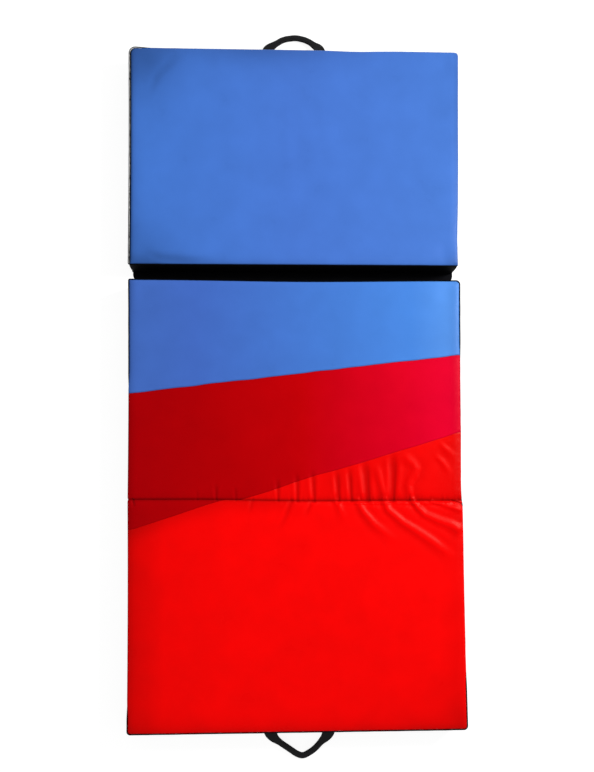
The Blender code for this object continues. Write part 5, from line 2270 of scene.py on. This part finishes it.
@dataclass
class CarryHandle:
    """A carry handle of folded webbing, and the two ends of it that are sewn to the wall."""

    panel: PanelForm
    end: End
    finishes: Finishes
    shares: tuple[tuple[float, float], ...]
    reach: float
    shift: float
    half_spacing: float
    fold_start: float
    fold_end: float
    webbing_width: float = 40.0 * MM
    webbing_thickness: float = 2.5 * MM
    grip_width: float = 19.0 * MM
    grip_thickness: float = 9.0 * MM
    tab_length: float = 48.0 * MM
    tab_tuck: float = 3.0 * MM
    axis_height: float = 25.0 * MM
    droop: float = 12.0
    hem_turns: tuple[float, ...] = (78.0, 62.0, 48.0, 34.0, 22.0, 10.0)
    cells: int = 110
    section_points: int = 36
    slit_depth: float = 2.6 * MM
    tab_rounding: float = 0.9 * MM
    tab_rows: int = 33
    tab_points: int = 28
    box_inset: float = 4.0 * MM
    box_bottom: float = 12.0 * MM
    box_thread: Stitching = Stitching(pitch=3.6 * MM, length=2.7 * MM)

    @property
    def axis_out(self) -> float:
        """How far the line that the handle swings about lies off the wall."""
        return 1.5 * self.webbing_thickness + 2 * SIZES.seat

    def placed(self, across: Array, out: Array, up: Array) -> Array:
        """Turns points of the handle's own plane, drooped about its swing line, into the frame.

        Turning by the droop takes (out, up) to (out cos - up sin, out sin + up cos), and the swing
        line lies off the wall at the axis height.

        Args:
            across: places across the pad.
            out: distances out from the swing line.
            up: heights over the handle's plane.

        Returns:
            The points in the frame.
        """
        wall, side = self.end.value
        turn = -side * math.radians(self.droop)
        y, z = side * out, up
        turned_y = y * math.cos(turn) - z * math.sin(turn)
        turned_z = y * math.sin(turn) + z * math.cos(turn)
        return np.stack(
            [across, wall + side * self.axis_out + turned_y, self.axis_height + turned_z], axis=-1
        )

    def sections(self, folded: Array) -> tuple[Array, Array]:
        """The webbing's section at every step, from flat to folded in half along its length.

        It is a superellipse that narrows and thickens as it folds. On the inner side, where the
        two edges come together, a slit deepens with the fold, and each face bows out a little.

        Args:
            folded: 0 where the webbing is flat and 1 where it is folded.

        Returns:
            For every step, the section's places across and up.
        """
        turn = np.linspace(0.0, math.tau, self.section_points, endpoint=False)
        cos, sin = np.cos(turn), np.sin(turn)
        power = 2 / (7.0 - 3.2 * folded)[:, None]
        width = (self.webbing_width + (self.grip_width - self.webbing_width) * folded)[:, None]
        thickness = self.webbing_thickness + (self.grip_thickness - self.webbing_thickness) * folded[:, None]
        across = np.sign(cos) * np.abs(cos) ** power * width / 2
        up = np.sign(sin) * np.abs(sin) ** power * thickness / 2
        slit = bell(turn - math.pi, 0.22)[None] * folded[:, None]
        across = across + slit * self.slit_depth
        up = up * (1.0 - 0.10 * folded[:, None] * bell(across + width / 2 - 4.0 * MM, 3.0 * MM))
        return across, up

    def loop(self) -> bpy.types.Object:
        """The handle's loop: the section carried along the route, a round hem at each end.

        Returns:
            The piece.
        """
        route = [(self.shift + across * self.half_spacing, out * self.reach) for across, out in self.shares]
        centres, travelled = smooth_route(route, self.cells)
        tangents = np.gradient(centres, axis=0)
        tangents /= np.linalg.norm(tangents, axis=1)[:, None]
        tangents[0], tangents[-1] = (0.0, 1.0), (0.0, -1.0)
        length = travelled[-1]
        folded = eased(np.minimum(travelled, length - travelled), self.fold_start, self.fold_end)
        across, up = self.sections(folded)
        hems = np.radians(self.hem_turns)
        hem_across, hem_up = self.sections(np.zeros(len(hems)))
        hem_up = hem_up * np.cos(hems)[:, None]
        back = np.column_stack([np.zeros(len(hems)), -self.webbing_thickness / 2 * np.sin(hems)])
        centres = np.vstack([centres[0] + back, centres, centres[-1] + back[::-1]])
        first, last = (np.tile(end, (len(hems), 1)) for end in (tangents[:1], tangents[-1:]))
        tangents = np.vstack([first, tangents, last])
        across = np.vstack([hem_across, across, hem_across[::-1]])
        up = np.vstack([hem_up, up, hem_up[::-1]])
        side = self.end.value[1]
        wobble = 0.35 * MM * wander(np.linspace(0.0, 1.0, len(centres)), 1.0, 0.12, 51 + side)
        grip = np.concatenate([np.zeros(len(hems)), folded, np.zeros(len(hems))])
        up = up + (wobble * grip)[:, None]
        flat_x = centres[:, 0, None] - tangents[:, 1, None] * across
        flat_out = centres[:, 1, None] + tangents[:, 0, None] * across
        along = np.concatenate([-0.001 * np.arange(len(hems), 0, -1), travelled,
                                length + 0.001 * np.arange(1, len(hems) + 1)])
        around = np.linspace(0.0, 2 * self.webbing_width, self.section_points + 1)
        shell = Shell()
        shell.add_grid(self.placed(flat_x, flat_out, up), along, around)
        self.sew_grip(shell, centres, tangents, grip)
        made = shell.make(f"{self.panel.name}_carry_handle", self.finishes.of(Finishes.WEBBING), 60.0)
        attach(made, f"{self.panel.name}_grip")
        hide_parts(f"{self.panel.name}_handle")
        return made

    def sew_grip(self, shell: Shell, centres: Array, tangents: Array, grip: Array) -> None:
        """Two rows of stitches hold the folded webbing shut, on both of its faces.

        Args:
            shell: the handle's mesh.
            centres: the route's middle line.
            tangents: its directions.
            grip: how far it is folded.
        """
        where = grip > 0.93
        middle, along = centres[where], tangents[where]
        for inset in (4.2 * MM, 6.4 * MM):
            across = -(self.grip_width / 2 - inset)
            x = middle[:, 0] - along[:, 1] * across
            out = middle[:, 1] + along[:, 0] * across
            for face in (1, -1):
                level = np.full(len(x), face * self.grip_thickness / 2 * 0.985)
                route = self.placed(x, out, level)
                away = self.placed(x, out, level + face * MM) - route
                Stitching(radius=0.36 * MM).sew(shell, route, away)

    def tab(self, word: str, sign: int) -> bpy.types.Object:
        """One sewn end: a flat length of webbing with a hemmed top and a crossed box of stitches.

        Args:
            word: the side's word in the piece's name.
            sign: -1 or 1: on which side of the handle's middle it lies.

        Returns:
            The piece.
        """
        wall, side = self.end.value
        centre = self.shift + sign * self.half_spacing
        low = self.axis_height - self.tab_tuck
        rows = np.linspace(0.0, 1.0, self.tab_rows)
        rounding = np.clip(np.minimum(rows, 1 - rows) * self.tab_length / self.tab_rounding, 0.0, 1.0)
        ends = np.sqrt(np.maximum(0.05, 1 - (1 - rounding) ** 2))
        section = flattened_section(self.webbing_width, self.webbing_thickness, self.tab_points, 7.0)
        up = low + rows * self.tab_length
        out = SIZES.seat + self.webbing_thickness / 2
        x = centre + section[None, :, 0] * (0.985 + 0.015 * ends[:, None])
        y = wall + side * (out + section[None, :, 1] * ends[:, None] * 0.94)
        z = np.broadcast_to(up[:, None], x.shape)
        shell = Shell()
        around = np.linspace(0.0, 2 * self.webbing_width, self.tab_points + 1)
        shell.add_grid(np.stack([x, y, z], axis=-1), up, around)
        half = self.webbing_width / 2 - self.box_inset
        bottom, top = low + self.box_bottom, low + self.tab_length - self.box_inset
        face = wall + side * (SIZES.seat + self.webbing_thickness * 0.97)
        box = [(-half, bottom), (half, bottom), (half, top), (-half, top), (-half, bottom)]
        crossing = [[(-half, bottom), (half, top)], [(half, bottom), (-half, top)]]
        for line in [box, *crossing]:
            points = np.array([(centre + px, face, pz) for px, pz in line])
            fine = np.vstack([
                points[index] + (points[index + 1] - points[index]) * np.linspace(0.0, 1.0, 12)[:, None]
                for index in range(len(points) - 1)
            ])
            self.box_thread.sew(shell, fine, np.tile([0.0, float(side), 0.0], (len(fine), 1)))
        made = shell.make(f"{self.panel.name}_webbing_end_{word}", self.finishes.of(Finishes.WEBBING), 60.0)
        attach(made, self.panel.body)
        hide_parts(f"{self.panel.name}_handle_tab_{word}")
        return made

    def dress(self) -> list[bpy.types.Object]:
        """Builds the loop and both sewn ends."""
        return [self.loop(), self.tab("left", -1), self.tab("right", 1)]


# ---------------------------------------------------------------- studio


@dataclass
class Studio:
    """A pale floor, soft light from the upper right, and the camera over the pad."""

    floor_size: float = 16.0
    floor_colour: str = "868686"
    floor_glow: float = 0.90
    ambient: float = 0.45
    key_place: tuple[float, float, float] = (2.35, 0.95, 2.25)
    key_aim: tuple[float, float, float] = (0.0, -0.10, 0.1)
    key_size: float = 0.8
    key_power: float = 125.0
    camera_place: tuple[float, float, float] = (-0.1156, -0.3898, 2.87)
    camera_turn: tuple[float, float, float] = (3.0780, -2.4197, -0.3402)
    focal_pixels: float = 933.73
    shift_pixels: float = 80.0
    sensor: float = 36.0

    @staticmethod
    def seen_rays(tree: bpy.types.NodeTree) -> bpy.types.NodeSocket:
        """1 for camera, glossy and transmission rays, and 0 for the rest.

        Args:
            tree: the nodes to add to.

        Returns:
            The output with that value.
        """
        path = add_node(tree, "ShaderNodeLightPath")
        seen = path.outputs["Is Camera Ray"]
        for name in ("Is Glossy Ray", "Is Transmission Ray"):
            seen = calculated(tree, "MAXIMUM", seen, path.outputs[name])
        return seen

    def add_floor(self) -> None:
        """A plain pale floor: it keeps the pad's shadow, and glows enough to be seen as white."""
        half = self.floor_size / 2
        mesh = bpy.data.meshes.new("floor")
        corners = [(-half, -half, 0), (half, -half, 0), (half, half, 0), (-half, half, 0)]
        mesh.from_pydata(corners, [], [(0, 1, 2, 3)])
        floor = linked("floor", mesh)
        paint = bpy.data.materials.new("matt_white_floor")
        paint.use_nodes = True
        tree = paint.node_tree
        tree.nodes.clear()
        matt = add_node(tree, "ShaderNodeBsdfDiffuse", inputs={"Color": linear(self.floor_colour)})
        strength = calculated(tree, "MULTIPLY", self.seen_rays(tree), self.floor_glow)
        glow = add_node(tree, "ShaderNodeEmission", inputs={"Strength": strength})
        both = add_node(tree, "ShaderNodeAddShader", inputs={0: matt.outputs[0], 1: glow.outputs[0]})
        add_node(tree, "ShaderNodeOutputMaterial", inputs={"Surface": both.outputs[0]})
        mesh.materials.append(paint)

    def add_world(self) -> None:
        """An even surround: soft light on the pad, and white where it is seen."""
        world = bpy.data.worlds.new("surround")
        world.use_nodes = True
        tree = world.node_tree
        tree.nodes.clear()
        lifted = ranged(tree, self.seen_rays(tree), 0.0, 1.0, self.ambient, 1.0)
        sky = add_node(
            tree, "ShaderNodeBackground", inputs={"Color": linear("FFFFFF"), "Strength": lifted}
        )
        add_node(tree, "ShaderNodeOutputWorld", inputs={"Surface": sky.outputs[0]})
        bpy.context.scene.world = world

    def add_key(self) -> None:
        """A square soft light at the upper right."""
        light = bpy.data.lights.new("window_light", "AREA")
        light.shape = "SQUARE"
        light.size = self.key_size
        light.energy = self.key_power
        lamp = linked("window_light", light)
        lamp.location = self.key_place
        aim = np.subtract(self.key_aim, self.key_place)
        lamp.rotation_euler = (
            math.atan2(math.hypot(aim[0], aim[1]), -aim[2]), 0.0, math.atan2(aim[1], aim[0]) - math.pi / 2
        )

    def add_camera(self) -> None:
        """The camera over the pad, where the fit of the photograph's puts it, with its lens."""
        data = bpy.data.cameras.new("camera")
        data.sensor_width = self.sensor
        data.lens = self.focal_pixels / max(PHOTO_SIZE) * self.sensor
        data.shift_y = self.shift_pixels / max(PHOTO_SIZE)
        camera = linked("camera", data)
        camera.location = self.camera_place
        camera.rotation_euler = [math.radians(turn) for turn in self.camera_turn]
        bpy.context.scene.camera = camera

    def build(self) -> None:
        """Sets up the whole studio."""
        self.add_floor()
        self.add_world()
        self.add_key()
        self.add_camera()
        bpy.context.scene.view_settings.view_transform = "Standard"


# ---------------------------------------------------------------- the whole pad


HEAD_LOOP = (
    (-1.0, 0.0), (-1.0, 0.22), (-0.985, 0.38), (-0.90, 0.53), (-0.66, 0.725), (-0.38, 0.915),
    (0.0, 1.0), (0.33, 0.955), (0.58, 0.84), (0.80, 0.66), (0.95, 0.52), (1.0, 0.36), (1.0, 0.18),
    (1.0, 0.0),
)
FOOT_LOOP = (
    (-1.0, 0.0), (-0.995, 0.10), (-0.93, 0.235), (-0.84, 0.35), (-0.66, 0.50), (-0.33, 0.755),
    (-0.08, 0.94), (0.11, 1.0), (0.30, 0.925), (0.535, 0.74), (0.76, 0.475), (0.90, 0.315),
    (0.985, 0.15), (1.0, 0.0),
)


@dataclass
class FoamStack:
    """The three foams in a panel: firm landing foam, soft core and thin support foam."""

    panel: PanelForm
    finishes: Finishes
    landing: tuple[float, float] = (0.0807, 0.0940)
    core: tuple[float, float] = (0.0116, 0.0804)
    support: tuple[float, float] = (0.0013, 0.0113)

    def dress(self) -> list[bpy.types.Object]:
        """Builds the three blocks, the landing foam's top under the cover's creases.

        Returns:
            The three pieces.
        """
        firm, soft = Finishes.FIRM_FOAM, Finishes.SOFT_FOAM
        layers = (
            FoamBlock(self.panel, self.finishes, "landing", firm, "closed_cell_foam", *self.landing,
                      edge=2.0 * MM, crowned=True),
            FoamBlock(self.panel, self.finishes, "core", soft, "open_cell_foam", *self.core,
                      edge=4.0 * MM, sag=1.5 * MM),
            FoamBlock(self.panel, self.finishes, "support", firm, "closed_cell_foam", *self.support,
                      edge=1.5 * MM),
        )
        return [layer.dress() for layer in layers]


class CrashPad:
    """The whole pad, built panel by panel."""

    def __init__(self) -> None:
        """Prepares the finishes."""
        self.finishes = Finishes()

    def dress(self) -> None:
        """Builds every piece and reports it."""
        made: list[bpy.types.Object] = list(TopCovers(self.finishes).dress().values())
        for panel in (HEAD, MIDDLE, FOOT):
            made.append(SideBand(panel, self.finishes).dress())
            made += [BoundSeam(panel, self.finishes, is_top).dress() for is_top in (True, False)]
            made.append(BaseCover(panel, self.finishes).dress())
            made += FoamStack(panel, self.finishes).dress()
            made += Zip(panel, self.finishes).dress()
        made.append(GroundStrip(self.finishes).dress())
        made += CarryHandle(
            HEAD, End.HEAD, self.finishes, HEAD_LOOP, reach=0.076, shift=0.0033, half_spacing=0.081,
            fold_start=0.012, fold_end=0.072,
        ).dress()
        made += CarryHandle(
            FOOT, End.FOOT, self.finishes, FOOT_LOOP, reach=0.0835, shift=0.0083, half_spacing=0.0873,
            fold_start=0.0, fold_end=0.058,
        ).dress()
        for piece in made:
            LOG.info("%s: %d faces", piece.name, len(piece.data.polygons))
        LOG.info("%d pieces, %d faces", len(made), sum(len(piece.data.polygons) for piece in made))


def main() -> None:
    """Builds the studio and the pad, in order."""
    logging.basicConfig(level=logging.INFO, format="%(message)s")
    Studio().build()
    CrashPad().dress()


if __name__ == "__main__":
    main()
